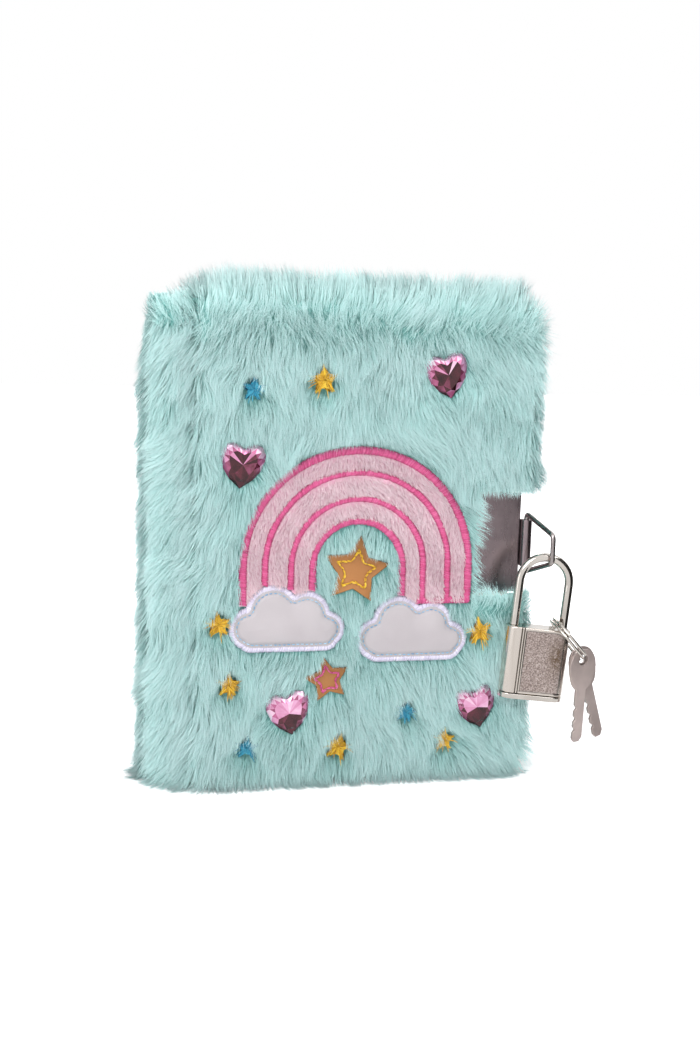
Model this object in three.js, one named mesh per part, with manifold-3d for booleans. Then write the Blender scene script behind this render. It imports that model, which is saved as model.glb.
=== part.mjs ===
// A small lockable diary in long-pile plush covers, standing closed on its lower edge.
// Millimetres, +X towards the fore edge, -Y out of the front cover, +Z up.
// The origin is in the middle of the foot of the spine, on the surface that the book stands on.
// The book is drawn round its own middle first, and moved there at the end.
import * as THREE from "three";
import { mergeVertices } from "three/addons/utils/BufferGeometryUtils.js";
import Module from "manifold-3d";

const wasm = await Module();
wasm.setup();

// Clearances
const seam = 0.3; // between a piece and the cut that it sits in
const leafGap = 0.3; // between the sections of the text block

// Case: boards, foam and plush
const boardThickness = 2;
const boardTop = 143.5;
const boardBottom = 4;
const boardForeEdge = 54.5;
const foamThickness = 1.5;
const foamInset = 2; // how far the foam stops inside the edge of its board
const plushThickness = 4.7;
const plushTurnIn = 4; // how far the plush stands past the edges of the board
const plushRound = 3; // rounding of the outer edge of the plush
const plushCorner = 9; // corner radius of the cover seen from the front
const boardCorner = 3;
const hemThickness = 1; // bare base cloth over the hinge strip of the board

// Text block
const sectionCount = 4;
const sectionThickness = 2.8;
const flyleafThickness = 0.4;
const endpaperThickness = 0.3;
const pageWidth = 100;
const pageSquare = 3.75; // how far the boards stand past the pages at head and tail
const pageCorner = 4;
const endpaperInset = 3;

// Spine and hinge lines
const spineBoardThickness = 2;
const spineBoardHalfWidth = 7.4;
const spinePlushThickness = 3;
const spinePlushHalfWidth = 8;
const spineLiningThickness = 0.3;
const headBandSize = 1.2;
const hingeToBoard = 2; // from the hinge line to the edge of the cover board
const hingeToPlush = 6.5; // from the hinge line to the full thickness of the plush

// Clasp: plate, rolled knuckle and wire bail
const plateThickness = 0.8;
const plateHeight = 32;
const plateReach = 13; // how far the plate covers the board
const platePastBoard = 3;
const prongWidth = 3;
const prongThickness = 0.8;
const prongInset = 4;
const knuckleLength = 15;
const knuckleBore = 2.0;
const knuckleStandOff = 4.7; // from the edge of the board to the knuckle's axis
const notchMargin = 1;
const bailWire = 1.6;
const bailLength = 15;
const bailEndLift = 1.9; // from the end of the knuckle to the middle of the wire
const bailTipHeight = 8.7; // height of the far side of the bail
const bailCorner = 1.5;
const bailEndGap = 0.5; // between the two ends inside the knuckle
const frontBailSwing = 77; // degrees that the front bail stands open from the fore edge
const backBailSwing = 95;

// Applique picture: an arch of bands with clouds and stars
const patternHeight = 147.5; // the cover height for which places in the picture are given
const appliqueThickness = 1.3;
const archX = 2.5;
const archZ = 68;
const archOuter = 36.5;
const bandWidth = 7.4;
const bandGap = 0.6;
const archLeg = 12;
const cloudThickness = 1.5;
const cloudWidth = 36;
const bigStarRadius = 11;
const smallStarRadius = 7.5;
const threadThickness = 0.7; // of the small embroidered stars

// Heart gems
const gemWidth = 13.5;
const gemThickness = 2;
const gemGirdle = 1.1; // height of the sloping facets
const gemTable = 0.68; // width of the flat table as a share of the gem

// Padlock, in its own frame: origin in the middle of the top face of the housing
const lockWidth = 20.5;
const lockThickness = 7.5;
const lockHeight = 23;
const lockBaseThickness = 1.6;
const shackleWire = 2.8;
const shackleSpan = 15.6; // between the middles of the two legs
const shackleRise = 23.6; // from the housing to the top of the arch
const heelDepth = 13;
const toeDepth = 8.4;
const boreClearance = 0.3;
const lockAlongBail = 12.2; // from the bail's axis to the middle of the shackle
const lockTilt = 5; // degrees that the keys pull the padlock to one side
const lockYaw = -10; // degrees that it is turned on the bail, with its left side towards the book
const plugDiameter = 5;
const plugHeight = 12;
const boltHeight = 2;
const boltDepth = 3;
const boltBite = 0.9;
const notchDepth = 1;
const notchRamp = 3.6;
const boltTravel = 1.3;

// Key ring and keys
const ringWire = 0.9;
const ringRadius = 7.7;
const ringTurns = 1.9;
const ringPitch = 1.15;
const ringSlope = 45; // degrees below level
const ringEntry = { x: 4.4, z: 2.5 }; // where its wire passes under the arch of the shackle
const keyLength = 30;
const keyThickness = 1;
const keyBowWidth = 11;
const keyBowLength = 13;
const keyBladeWidth = 4;
const keyHole = 3.8;
const keyDrop = 0.6; // from the wire's middle down to the middle of the hole
const keyTurn = 30; // degrees that the keys are turned on the wire
const keySpread = 13; // degrees along the ring from its end to each key
const keyLean = [2, -15]; // degrees from upright, once the padlock's own tilt is taken off

// Places worked out from the sizes above
const blockThickness = sectionCount * sectionThickness + (sectionCount - 1) * leafGap;
const innerHalf =
  (blockThickness + 2 * leafGap + 2 * endpaperThickness + leafGap + flyleafThickness) / 2;
const boardOuter = innerHalf + boardThickness;
const foamOuter = boardOuter + foamThickness;
const plushInner = foamOuter + seam;
const plushOuter = plushInner + plushThickness;
const coverTop = boardTop + plushTurnIn;
const coverMiddle = coverTop / 2;
const patternScale = coverTop / patternHeight;
const plushForeEdge = boardForeEdge + plushTurnIn;
const spineOuter = -plushForeEdge;
const spineBoardOuter = spineOuter + spinePlushThickness;
const spineBoardInner = spineBoardOuter + spineBoardThickness;
const hingeX = spineBoardInner - 0.5;
const boardHingeEdge = hingeX + hingeToBoard;
const plushHingeEdge = hingeX + hingeToPlush;
const liningX = spineBoardInner + seam;
const pageSpineX = liningX + spineLiningThickness + seam;
const pageBottom = boardBottom + pageSquare;
const pageHeight = boardTop - boardBottom - 2 * pageSquare;
const blockFront = -innerHalf + endpaperThickness + leafGap + flyleafThickness + leafGap;
const knuckleX = boardForeEdge + knuckleStandOff;
const knuckleOuter = knuckleBore / 2 + plateThickness;
const knuckleY = boardOuter + knuckleOuter;
const bailHalfSpan = knuckleLength / 2 + bailEndLift;
const plateLeft = boardForeEdge - plateReach;

// Colours
const mint = new THREE.MeshStandardMaterial({ color: 0xa9dcd4, roughness: 0.95 });
const board = new THREE.MeshStandardMaterial({ color: 0xb9b2a5, roughness: 0.9 });
const foam = new THREE.MeshStandardMaterial({ color: 0xf2efe6, roughness: 0.95 });
const paper = new THREE.MeshStandardMaterial({ color: 0xf7f4ec, roughness: 0.9 });
const endpaper = new THREE.MeshStandardMaterial({ color: 0xf3c7d6, roughness: 0.85 });
const steel = new THREE.MeshStandardMaterial({ color: 0xa8a3a0, roughness: 0.25, metalness: 1 });
const nickel = new THREE.MeshStandardMaterial({ color: 0xc9c4bd, roughness: 0.35, metalness: 1 });
const keyMetal = new THREE.MeshStandardMaterial({ color: 0xb9aeaa, roughness: 0.4, metalness: 1 });
const brass = new THREE.MeshStandardMaterial({ color: 0xc2a25a, roughness: 0.4, metalness: 1 });
const palePlush = new THREE.MeshStandardMaterial({ color: 0xf0c4d8, roughness: 0.95 });
const whiteHide = new THREE.MeshStandardMaterial({ color: 0xf1eeee, roughness: 0.6 });
const tanHide = new THREE.MeshStandardMaterial({ color: 0xb9885c, roughness: 0.6 });
const goldThread = new THREE.MeshStandardMaterial({ color: 0xe0b21e, roughness: 0.7 });
const blueThread = new THREE.MeshStandardMaterial({ color: 0x1f8fb0, roughness: 0.7 });
const gemPink = new THREE.MeshStandardMaterial({ color: 0xe08fb4, roughness: 0.1, metalness: 0.3 });

const journal = new THREE.Group();

function addMesh(parent, name, geometry, material) {
  const mesh = new THREE.Mesh(geometry, material);
  mesh.name = name;
  parent.add(mesh);
  return mesh;
}

// Joins and cuts
function toSolid(geometry) {
  const bare = geometry.clone();
  bare.deleteAttribute("normal");
  bare.deleteAttribute("uv");
  const merged = mergeVertices(bare, 1e-4);
  return new wasm.Manifold(
    new wasm.Mesh({
      numProp: 3,
      vertProperties: merged.attributes.position.array,
      triVerts: new Uint32Array(merged.index.array),
    })
  );
}

function toGeometry(solid) {
  const { vertProperties, triVerts } = solid.getMesh();
  const geometry = new THREE.BufferGeometry();
  geometry.setAttribute("position", new THREE.BufferAttribute(vertProperties, 3));
  geometry.setIndex(new THREE.BufferAttribute(triVerts, 1));
  return geometry;
}

function cut(geometry, ...tools) {
  return toGeometry(tools.reduce((solid, tool) => solid.subtract(toSolid(tool)), toSolid(geometry)));
}

function join(geometry, ...others) {
  return toGeometry(others.reduce((solid, other) => solid.add(toSolid(other)), toSolid(geometry)));
}

// A box between two corners
function boxBetween(x0, x1, y0, y1, z0, z1) {
  const box = new THREE.BoxGeometry(x1 - x0, y1 - y0, z1 - z0);
  return box.translate((x0 + x1) / 2, (y0 + y1) / 2, (z0 + z1) / 2);
}

// A rectangle whose hinge-side and fore-edge corners have their own radii
function roundedRectangle(x0, x1, z0, z1, hingeRadius, foreRadius) {
  const shape = new THREE.Shape();
  shape.moveTo(x0 + hingeRadius, z0);
  shape.lineTo(x1 - foreRadius, z0);
  if (foreRadius > 0) shape.absarc(x1 - foreRadius, z0 + foreRadius, foreRadius, -Math.PI / 2, 0);
  shape.lineTo(x1, z1 - foreRadius);
  if (foreRadius > 0) shape.absarc(x1 - foreRadius, z1 - foreRadius, foreRadius, 0, Math.PI / 2);
  shape.lineTo(x0 + hingeRadius, z1);
  if (hingeRadius > 0) shape.absarc(x0 + hingeRadius, z1 - hingeRadius, hingeRadius, Math.PI / 2, Math.PI);
  shape.lineTo(x0, z0 + hingeRadius);
  if (hingeRadius > 0)
    shape.absarc(x0 + hingeRadius, z0 + hingeRadius, hingeRadius, Math.PI, 1.5 * Math.PI);
  return shape;
}

// Everything behind the upright plane at y
function behindPlane(y) {
  const far = 200;
  return boxBetween(-far, far, y, far, -far, far);
}

// A plate drawn in the X-Z plane, from its back face at y = back towards -Y by its thickness
function plateFrom(shape, back, thickness, segments = 5) {
  const plate = new THREE.ExtrudeGeometry(shape, {
    depth: thickness,
    bevelEnabled: false,
    curveSegments: segments,
  });
  return plate.rotateX(Math.PI / 2).translate(0, back, 0);
}

// A wire along a line of points, with each corner rounded
function wireAlong(points, diameter, cornerRadius, steps, sides) {
  const path = new THREE.CurvePath();
  let from = points[0];
  for (let i = 1; i < points.length - 1; i++) {
    const before = points[i].clone().lerp(points[i - 1], cornerRadius / points[i].distanceTo(points[i - 1]));
    const after = points[i].clone().lerp(points[i + 1], cornerRadius / points[i].distanceTo(points[i + 1]));
    path.add(new THREE.LineCurve3(from, before));
    path.add(new THREE.QuadraticBezierCurve3(before, points[i], after));
    from = after;
  }
  path.add(new THREE.LineCurve3(from, points[points.length - 1]));
  return roundTube(path, diameter, steps, sides);
}

function roundTube(path, diameter, steps, sides) {
  const section = new THREE.Shape();
  for (let i = 0; i < sides; i++) {
    const angle = (i / sides) * 2 * Math.PI;
    const x = (diameter / 2) * Math.cos(angle);
    const y = (diameter / 2) * Math.sin(angle);
    if (i === 0) section.moveTo(x, y);
    else section.lineTo(x, y);
  }
  section.closePath();
  return new THREE.ExtrudeGeometry(section, { steps, bevelEnabled: false, extrudePath: path });
}

// A coil of wire round an axis along Z, from z = 0 upwards
class Helix extends THREE.Curve {
  constructor(radius, pitch, turns) {
    super();
    Object.assign(this, { radius, pitch, turns });
  }

  getPoint(t, target = new THREE.Vector3()) {
    const angle = t * this.turns * 2 * Math.PI;
    const height = t * this.turns * this.pitch;
    return target.set(this.radius * Math.cos(angle), this.radius * Math.sin(angle), height);
  }
}

function cylinderZ(radius, z0, z1, sides) {
  return new THREE.CylinderGeometry(radius, radius, z1 - z0, sides)
    .rotateX(Math.PI / 2)
    .translate(0, 0, (z0 + z1) / 2);
}

// Cover board with the two slots that the prongs of the clasp plate go through
function boardGeometry() {
  const outline = roundedRectangle(boardHingeEdge, boardForeEdge, boardBottom, boardTop, 0.6, boardCorner);
  return cut(plateFrom(outline, -innerHalf, boardThickness), ...prongs(seam));
}

function prongs(clearance) {
  return [-1, 1].map((side) => {
    const x = plateLeft + prongInset;
    const z = coverMiddle + side * (plateHeight / 2 - prongInset);
    const y0 = -boardOuter - clearance;
    const y1 = -innerHalf - seam + (clearance > 0 ? 1 : 0);
    const halfX = prongThickness / 2 + clearance;
    const halfZ = prongWidth / 2 + clearance;
    return boxBetween(x - halfX, x + halfX, y0, y1, z - halfZ, z + halfZ);
  });
}

// The place that the plush leaves free for the clasp plate
function claspNotch() {
  const half = plateHeight / 2 + notchMargin;
  return boxBetween(
    plateLeft - notchMargin,
    plushForeEdge + 1,
    -plushOuter - 1,
    0,
    coverMiddle - half,
    coverMiddle + half
  );
}

function foamGeometry() {
  const outline = roundedRectangle(
    plushHingeEdge + foamInset,
    boardForeEdge - foamInset,
    boardBottom + foamInset,
    boardTop - foamInset,
    1,
    boardCorner
  );
  return cut(plateFrom(outline, -boardOuter, foamThickness), claspNotch());
}

// Plush of one cover: a crowned slab with rounded edges, hollowed to take the board and the foam
function plushGeometry() {
  const outline = roundedRectangle(
    plushHingeEdge + plushRound,
    plushForeEdge - plushRound,
    plushRound,
    coverTop - plushRound,
    1,
    plushCorner - plushRound
  );
  const depth = plushOuter - innerHalf;
  const slab = new THREE.ExtrudeGeometry(outline, {
    depth: depth,
    bevelThickness: plushRound,
    bevelSize: plushRound,
    bevelSegments: 4,
    curveSegments: 5,
  });
  slab.rotateX(Math.PI / 2).translate(0, -innerHalf + plushRound, 0);
  const hem = boxBetween(
    boardHingeEdge,
    plushHingeEdge + 1,
    -boardOuter - seam - hemThickness,
    -boardOuter - seam,
    boardBottom,
    boardTop
  );
  const boardSpace = plateFrom(
    roundedRectangle(
      boardHingeEdge - hingeToPlush,
      boardForeEdge + seam,
      boardBottom - seam,
      boardTop + seam,
      0,
      boardCorner + seam
    ),
    0,
    boardOuter + seam
  );
  const foamSpace = plateFrom(
    roundedRectangle(
      plushHingeEdge + foamInset - seam,
      boardForeEdge - foamInset + seam,
      boardBottom + foamInset - seam,
      boardTop - foamInset + seam,
      1,
      boardCorner
    ),
    0,
    plushInner
  );
  const shell = cut(slab, behindPlane(-innerHalf), boardSpace, foamSpace, claspNotch());
  return join(shell, hem);
}

function endpaperGeometry() {
  const outline = roundedRectangle(
    boardHingeEdge + 0.5,
    boardForeEdge - endpaperInset,
    boardBottom + endpaperInset,
    boardTop - endpaperInset,
    0.5,
    pageCorner
  );
  return plateFrom(outline, -innerHalf + endpaperThickness, endpaperThickness);
}

// Clasp plate: flat plate, tongue rolled outwards into a knuckle, and two prongs
function plateGeometry() {
  const flat = boxBetween(
    plateLeft,
    boardForeEdge + platePastBoard,
    -boardOuter - plateThickness,
    -boardOuter,
    coverMiddle - plateHeight / 2,
    coverMiddle + plateHeight / 2
  );
  const profile = new THREE.Shape();
  const edgeX = boardForeEdge - 1;
  profile.moveTo(edgeX, -boardOuter);
  profile.lineTo(knuckleX, -boardOuter);
  profile.absarc(knuckleX, -knuckleY, knuckleOuter, Math.PI / 2, -Math.PI, true);
  profile.absarc(knuckleX, -knuckleY, knuckleBore / 2, -Math.PI, Math.PI / 2, false);
  profile.lineTo(edgeX, -boardOuter - plateThickness);
  const roll = new THREE.ExtrudeGeometry(profile, {
    depth: knuckleLength,
    bevelEnabled: false,
    curveSegments: 14,
  }).translate(0, 0, coverMiddle - knuckleLength / 2);
  const folded = prongs(0);
  return join(flat, roll, ...folded.map((prong) => prong.translate(0, -0.1, 0)));
}

// Wire bail: its two ends meet inside the knuckle. It points along +X and hinges on its own Z axis.
function bailGeometry() {
  const halfSpan = bailHalfSpan;
  const halfTip = bailTipHeight / 2;
  const points = [
    new THREE.Vector3(0, 0, bailEndGap / 2),
    new THREE.Vector3(0, 0, halfSpan),
    new THREE.Vector3(bailLength, 0, halfTip),
    new THREE.Vector3(bailLength, 0, -halfTip),
    new THREE.Vector3(0, 0, -halfSpan),
    new THREE.Vector3(0, 0, -bailEndGap / 2),
  ];
  return wireAlong(points, bailWire, bailCorner, 62, 8);
}

// One cover with everything that turns with it
function addCover(parent, side) {
  addMesh(parent, `${side}_board`, boardGeometry(), board);
  addMesh(parent, `${side}_padding`, foamGeometry(), foam);
  addMesh(parent, `${side}_plush`, plushGeometry(), mint);
  addMesh(parent, `${side}_endpaper`, endpaperGeometry(), endpaper);
  addMesh(parent, `${side}_plate`, plateGeometry(), steel);
}

function addBail(parent, name, swing) {
  const bail = addMesh(parent, name, bailGeometry(), steel);
  bail.position.set(knuckleX, -knuckleY, coverMiddle);
  bail.rotation.z = THREE.MathUtils.degToRad(-swing);
}

// Text block: sections with folded spine edges, flyleaf, lining and bands
function sectionGeometry(front, thickness) {
  const outline = roundedRectangle(
    pageSpineX,
    pageSpineX + pageWidth,
    pageBottom,
    pageBottom + pageHeight,
    0,
    pageCorner
  );
  return plateFrom(outline, front + thickness, thickness);
}

function addTextBlock(parent) {
  const flyleafFront = -innerHalf + endpaperThickness + leafGap;
  addMesh(parent, "front_flyleaf", sectionGeometry(flyleafFront, flyleafThickness), paper);
  for (let i = 0; i < sectionCount; i++) {
    const front = blockFront + i * (sectionThickness + leafGap);
    addMesh(parent, `page_section_${i + 1}`, sectionGeometry(front, sectionThickness), paper);
  }
  const lining = boxBetween(
    liningX,
    liningX + spineLiningThickness,
    blockFront,
    blockFront + blockThickness,
    pageBottom + 6,
    pageBottom + pageHeight - 6
  );
  addMesh(parent, "spine_lining", lining, foam);
  const bands = [
    ["tail_band", pageBottom - headBandSize - seam],
    ["head_band", pageBottom + pageHeight + seam],
  ];
  for (const [name, z] of bands) {
    const band = boxBetween(
      liningX,
      liningX + headBandSize,
      blockFront,
      blockFront + blockThickness,
      z,
      z + headBandSize
    );
    addMesh(parent, name, band, endpaper);
  }
}

function addSpine(parent) {
  const spine = boxBetween(
    spineBoardOuter,
    spineBoardInner,
    -spineBoardHalfWidth,
    spineBoardHalfWidth,
    boardBottom,
    boardTop
  );
  addMesh(parent, "spine_board", spine, board);
  const profile = new THREE.Shape();
  const round = spinePlushThickness - 0.5;
  profile.moveTo(spineBoardOuter, -spinePlushHalfWidth);
  profile.lineTo(spineBoardOuter, spinePlushHalfWidth);
  profile.lineTo(spineBoardOuter - 0.5, spinePlushHalfWidth);
  profile.absarc(spineOuter + round, spinePlushHalfWidth - round, round, Math.PI / 2, Math.PI);
  profile.absarc(spineOuter + round, -spinePlushHalfWidth + round, round, Math.PI, 1.5 * Math.PI);
  const plush = new THREE.ExtrudeGeometry(profile, {
    depth: coverTop,
    bevelEnabled: false,
    curveSegments: 5,
  });
  addMesh(parent, "spine_plush", plush, mint);
}

// Applique on the plush of the front cover
function bandShape(outer, inner) {
  const shape = new THREE.Shape();
  const foot = archZ - archLeg;
  shape.moveTo(archX + outer, foot);
  shape.lineTo(archX + outer, archZ);
  shape.absarc(archX, archZ, outer, 0, Math.PI);
  shape.lineTo(archX - outer, foot);
  shape.lineTo(archX - inner, foot);
  shape.lineTo(archX - inner, archZ);
  shape.absarc(archX, archZ, inner, Math.PI, 0, true);
  shape.lineTo(archX + inner, foot);
  return shape;
}

// A cloud is a row of round lobes on a flat foot
function cloudLobes(centreX, centreZ, grow, back, thickness) {
  const u = cloudWidth / 36;
  const lobes = [
    [-11.5, -1, 6.2],
    [-4.5, 4, 8],
    [6, 3, 7],
    [12.5, -1.5, 5.2],
  ];
  const solids = lobes.map(([x, z, radius]) => {
    const disc = new THREE.Shape();
    disc.absarc(centreX + x * u, centreZ + z * u, radius * u + grow, 0, 2 * Math.PI);
    return plateFrom(disc, back, thickness, 14);
  });
  const foot = roundedRectangle(
    centreX - 15 * u - grow,
    centreX + 16 * u + grow,
    centreZ - 8 * u - grow,
    centreZ + u,
    4 * u,
    4 * u
  );
  return join(plateFrom(foot, back, thickness), ...solids);
}

function starShape(radius, points, depth) {
  const shape = new THREE.Shape();
  for (let i = 0; i < 2 * points; i++) {
    const angle = Math.PI / 2 + (i * Math.PI) / points;
    const reach = i % 2 ? radius * depth : radius;
    const x = reach * Math.cos(angle);
    const z = reach * Math.sin(angle);
    if (i === 0) shape.moveTo(x, z);
    else shape.lineTo(x, z);
  }
  shape.closePath();
  return shape;
}

function heartShape(width) {
  const shape = new THREE.Shape();
  const r = width / 4;
  shape.moveTo(0, r * 0.9);
  shape.absarc(r, r * 0.9, r, Math.PI, -0.35, true);
  shape.lineTo(0, -r * 2.15);
  shape.absarc(-r, r * 0.9, r, Math.PI + 0.35, 0, true);
  return shape;
}

const clouds = {
  left: { x: -19, z: 50 },
  right: { x: 20.5, z: 46 },
};

function addApplique(parent) {
  const back = -plushOuter;
  const cloudCuts = Object.values(clouds).map((cloud) =>
    cloudLobes(cloud.x * patternScale, cloud.z * patternScale, 0.5, back + 1, appliqueThickness + 2)
  );
  const bands = ["outer_band", "middle_band", "inner_band"];
  bands.forEach((name, i) => {
    const outer = archOuter - i * (bandWidth + bandGap);
    const blank = plateFrom(bandShape(outer, outer - bandWidth), back, appliqueThickness, 12);
    addMesh(parent, `applique_${name}`, cut(blank, claspNotch(), ...cloudCuts), palePlush);
  });
  for (const [side, cloud] of Object.entries(clouds)) {
    const patch = cloudLobes(cloud.x * patternScale, cloud.z * patternScale, 0, back, cloudThickness);
    addMesh(parent, `applique_cloud_${side}`, patch, whiteHide);
  }
  const stars = [
    ["applique_big_star", bigStarRadius, archX - 0.5, archZ - 1.5, 8],
    ["applique_small_star", smallStarRadius, -6 * patternScale, 32.5 * patternScale, -12],
  ];
  for (const [name, radius, x, z, turn] of stars) {
    const patch = plateFrom(starShape(radius, 5, 0.52), 0, appliqueThickness);
    patch.rotateY(THREE.MathUtils.degToRad(turn)).translate(x, back, z);
    addMesh(parent, name, patch, tanHide);
  }
}

// A heart with upright sides and, above them, facets that slope in to a flat table
function gemGeometry() {
  const gem = new THREE.ExtrudeGeometry(heartShape(gemWidth), {
    depth: gemThickness,
    steps: 2,
    bevelEnabled: false,
    curveSegments: 4,
  });
  const place = gem.attributes.position;
  for (let i = 0; i < place.count; i++) {
    const height = place.getZ(i);
    if (height > gemThickness * 0.75)
      place.setXYZ(i, place.getX(i) * gemTable, place.getY(i) * gemTable, height);
    else if (height > gemThickness * 0.25) place.setZ(i, gemThickness - gemGirdle);
  }
  return gem;
}

// Gems and small embroidered stars, each by the place of its middle
function addOrnaments(parent) {
  const gems = [
    [-34, 99.5, 6],
    [29.5, 127, -12],
    [-17.5, 23, -10],
    [43.3, 22.6, -14],
  ];
  gems.forEach(([x, z, turn], i) => {
    const gem = gemGeometry().rotateX(Math.PI / 2).rotateY(THREE.MathUtils.degToRad(turn));
    gem.translate(x * patternScale, -plushOuter, z * patternScale);
    addMesh(parent, `gem_heart_${i + 1}`, gem, gemPink);
  });
  const stars = [
    [-9.6, 124, 4.6, goldThread],
    [-40.4, 50.4, 4.2, goldThread],
    [-36.9, 31.8, 4, goldThread],
    [-2.4, 11, 4.6, goldThread],
    [42.4, 46.5, 4.3, goldThread],
    [32.1, 11.7, 3.6, goldThread],
    [-30.9, 121, 3.6, blueThread],
    [-30.9, 12, 3.6, blueThread],
    [19.2, 21.3, 3.6, blueThread],
  ];
  stars.forEach(([x, z, radius, thread], i) => {
    const star = plateFrom(starShape(radius * patternScale, 5, 0.45), 0, threadThickness);
    star.translate(x * patternScale, -plushOuter, z * patternScale);
    addMesh(parent, `embroidered_star_${i + 1}`, star, thread);
  });
}

// Padlock
function lockOutline(clearance) {
  const radius = lockThickness / 2 - clearance;
  const centre = lockWidth / 2 - lockThickness / 2;
  const shape = new THREE.Shape();
  shape.moveTo(centre, -radius);
  shape.absarc(centre, 0, radius, -Math.PI / 2, Math.PI / 2);
  shape.absarc(-centre, 0, radius, Math.PI / 2, 1.5 * Math.PI);
  return shape;
}

function lockPrism(z0, z1, clearance) {
  return new THREE.ExtrudeGeometry(lockOutline(clearance), {
    depth: z1 - z0,
    bevelEnabled: false,
    curveSegments: 8,
  }).translate(0, 0, z0);
}

const legX = shackleSpan / 2;
const shackleBore = shackleWire / 2 + boreClearance;
const boltTop = -4.6;
const boltBottom = boltTop - boltHeight;
const toeFace = legX - shackleWire / 2;
const boltTip = toeFace + boltBite;
const boltLength = 8.05;
const pinRadius = 0.5;
const pinThrow = boltTravel / Math.SQRT2; // from the plug's axis to the drive pin
const pinClearance = 0.2;
const housingBottom = -lockHeight + lockBaseThickness + 0.2;
const heelSeat = -19; // floor of the bore under the heel of the shackle
const toeSeat = -14;
const keywayWidth = 1.3;
const keywayDepth = 3.8;
const keywayHeight = 9;
const waferSpots = [1.5, 4, 6.5]; // heights of the wafers above the foot of the plug
const waferThickness = 0.6;
const waferPlay = 0.1;
const plugTop = housingBottom + plugHeight - 0.5;

function addLock(parent) {
  const heelBore = cylinderZ(shackleBore, heelSeat, 1, 14).translate(-legX, 0, 0);
  const toeBore = cylinderZ(shackleBore, toeSeat, 1, 14).translate(legX, 0, 0);
  const boltWay = boxBetween(
    boltTip - boltLength - boltTravel - 0.3,
    toeFace + 1.2,
    -boltDepth / 2 - seam,
    boltDepth / 2 + seam,
    boltBottom - seam,
    boltTop + seam
  );
  const plugBore = cylinderZ(plugDiameter / 2 + seam, housingBottom - 1, plugTop + seam, 20);
  const driveWay = cylinderZ(pinThrow + pinRadius + seam, plugTop, boltBottom, 16);
  const housing = cut(lockPrism(housingBottom, 0, 0), heelBore, toeBore, boltWay, plugBore, driveWay);
  addMesh(parent, "lock_housing", housing, nickel);

  const keyOpening = cylinderZ(plugDiameter / 2 - 0.6, -lockHeight - 1, housingBottom, 20);
  const base = cut(lockPrism(-lockHeight, -lockHeight + lockBaseThickness, 0), keyOpening);
  addMesh(parent, "lock_base_plate", base, nickel);

  addShackle(parent);
  addLockInside(parent);
}

function addShackle(parent) {
  const archRadius = shackleSpan / 2;
  const archZero = shackleRise - shackleWire / 2 - archRadius;
  const path = new THREE.CurvePath();
  const points = [];
  for (let i = 0; i <= 16; i++) {
    const angle = Math.PI - (i / 16) * Math.PI;
    points.push(new THREE.Vector3(archRadius * Math.cos(angle), 0, archZero + archRadius * Math.sin(angle)));
  }
  path.add(new THREE.LineCurve3(new THREE.Vector3(-legX, 0, -heelDepth), points[0]));
  for (let i = 0; i < points.length - 1; i++) path.add(new THREE.LineCurve3(points[i], points[i + 1]));
  path.add(new THREE.LineCurve3(points[points.length - 1], new THREE.Vector3(legX, 0, -toeDepth)));
  const wire = roundTube(path, shackleWire, 60, 12);
  // The notch under the bolt runs out in a ramp, so that the toe rises as the bolt draws back.
  const notch = new THREE.Shape();
  notch.moveTo(toeFace + notchDepth, boltBottom - 0.05);
  notch.lineTo(toeFace + notchDepth, boltTop + 0.3);
  notch.lineTo(toeFace - 1, boltTop + 0.3);
  notch.lineTo(toeFace - 1, boltBottom - notchRamp * (1 + 1 / notchDepth));
  const rampCut = plateFrom(notch, 5, 10);
  addMesh(parent, "lock_shackle", cut(wire, rampCut), nickel);
}

function addLockInside(parent) {
  const nose = boltTip;
  const bolt = boxBetween(nose - boltLength, nose, -boltDepth / 2, boltDepth / 2, boltBottom, boltTop);
  const pinX = boltTravel / 2;
  const slotHalf = pinRadius + pinClearance;
  const driveSlot = boxBetween(pinX - slotHalf, pinX + slotHalf, pinX - slotHalf, 5, boltBottom - 1, boltBottom + 1);
  addMesh(parent, "lock_bolt", cut(bolt, driveSlot), brass);

  const plugBottom = housingBottom + 0.1;
  const body = cylinderZ(plugDiameter / 2, plugBottom, plugTop, 20);
  const keyway = boxBetween(
    -keywayWidth / 2,
    keywayWidth / 2,
    -keywayDepth / 2,
    keywayDepth / 2,
    plugBottom - 1,
    plugBottom + keywayHeight
  );
  const slots = waferSpots.map((spot) => {
    const z = plugBottom + spot;
    return boxBetween(-1.6, 1.6, -3, 3, z - waferPlay, z + waferThickness + 3 * waferPlay);
  });
  const drive = cylinderZ(pinRadius, plugTop - 1, boltBottom + 0.8, 10).translate(pinX, pinX, 0);
  const plug = join(cut(body, keyway, ...slots), drive);
  addMesh(parent, "lock_plug", plug, brass);
  waferSpots.forEach((spot, i) => {
    const z = plugBottom + spot + waferPlay;
    const wafer = boxBetween(-1.4, 1.4, -2, 2, z, z + waferThickness);
    const window = boxBetween(-0.7, 0.7, -1.3, 1.1, z - 1, z + 2);
    addMesh(parent, `lock_wafer_${i + 1}`, cut(wafer, window), brass);
  });

  const springWire = 0.35;
  const heelSpringTurns = 5;
  const heelSpringHeight = -heelDepth - seam - springWire - heelSeat - seam - springWire / 2;
  const heelCoil = new Helix(1, heelSpringHeight / heelSpringTurns, heelSpringTurns);
  const heelSpring = roundTube(heelCoil, springWire, heelSpringTurns * 8, 5);
  heelSpring.translate(-legX, 0, heelSeat + seam + springWire / 2);
  addMesh(parent, "heel_spring", heelSpring, steel);
}

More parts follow.
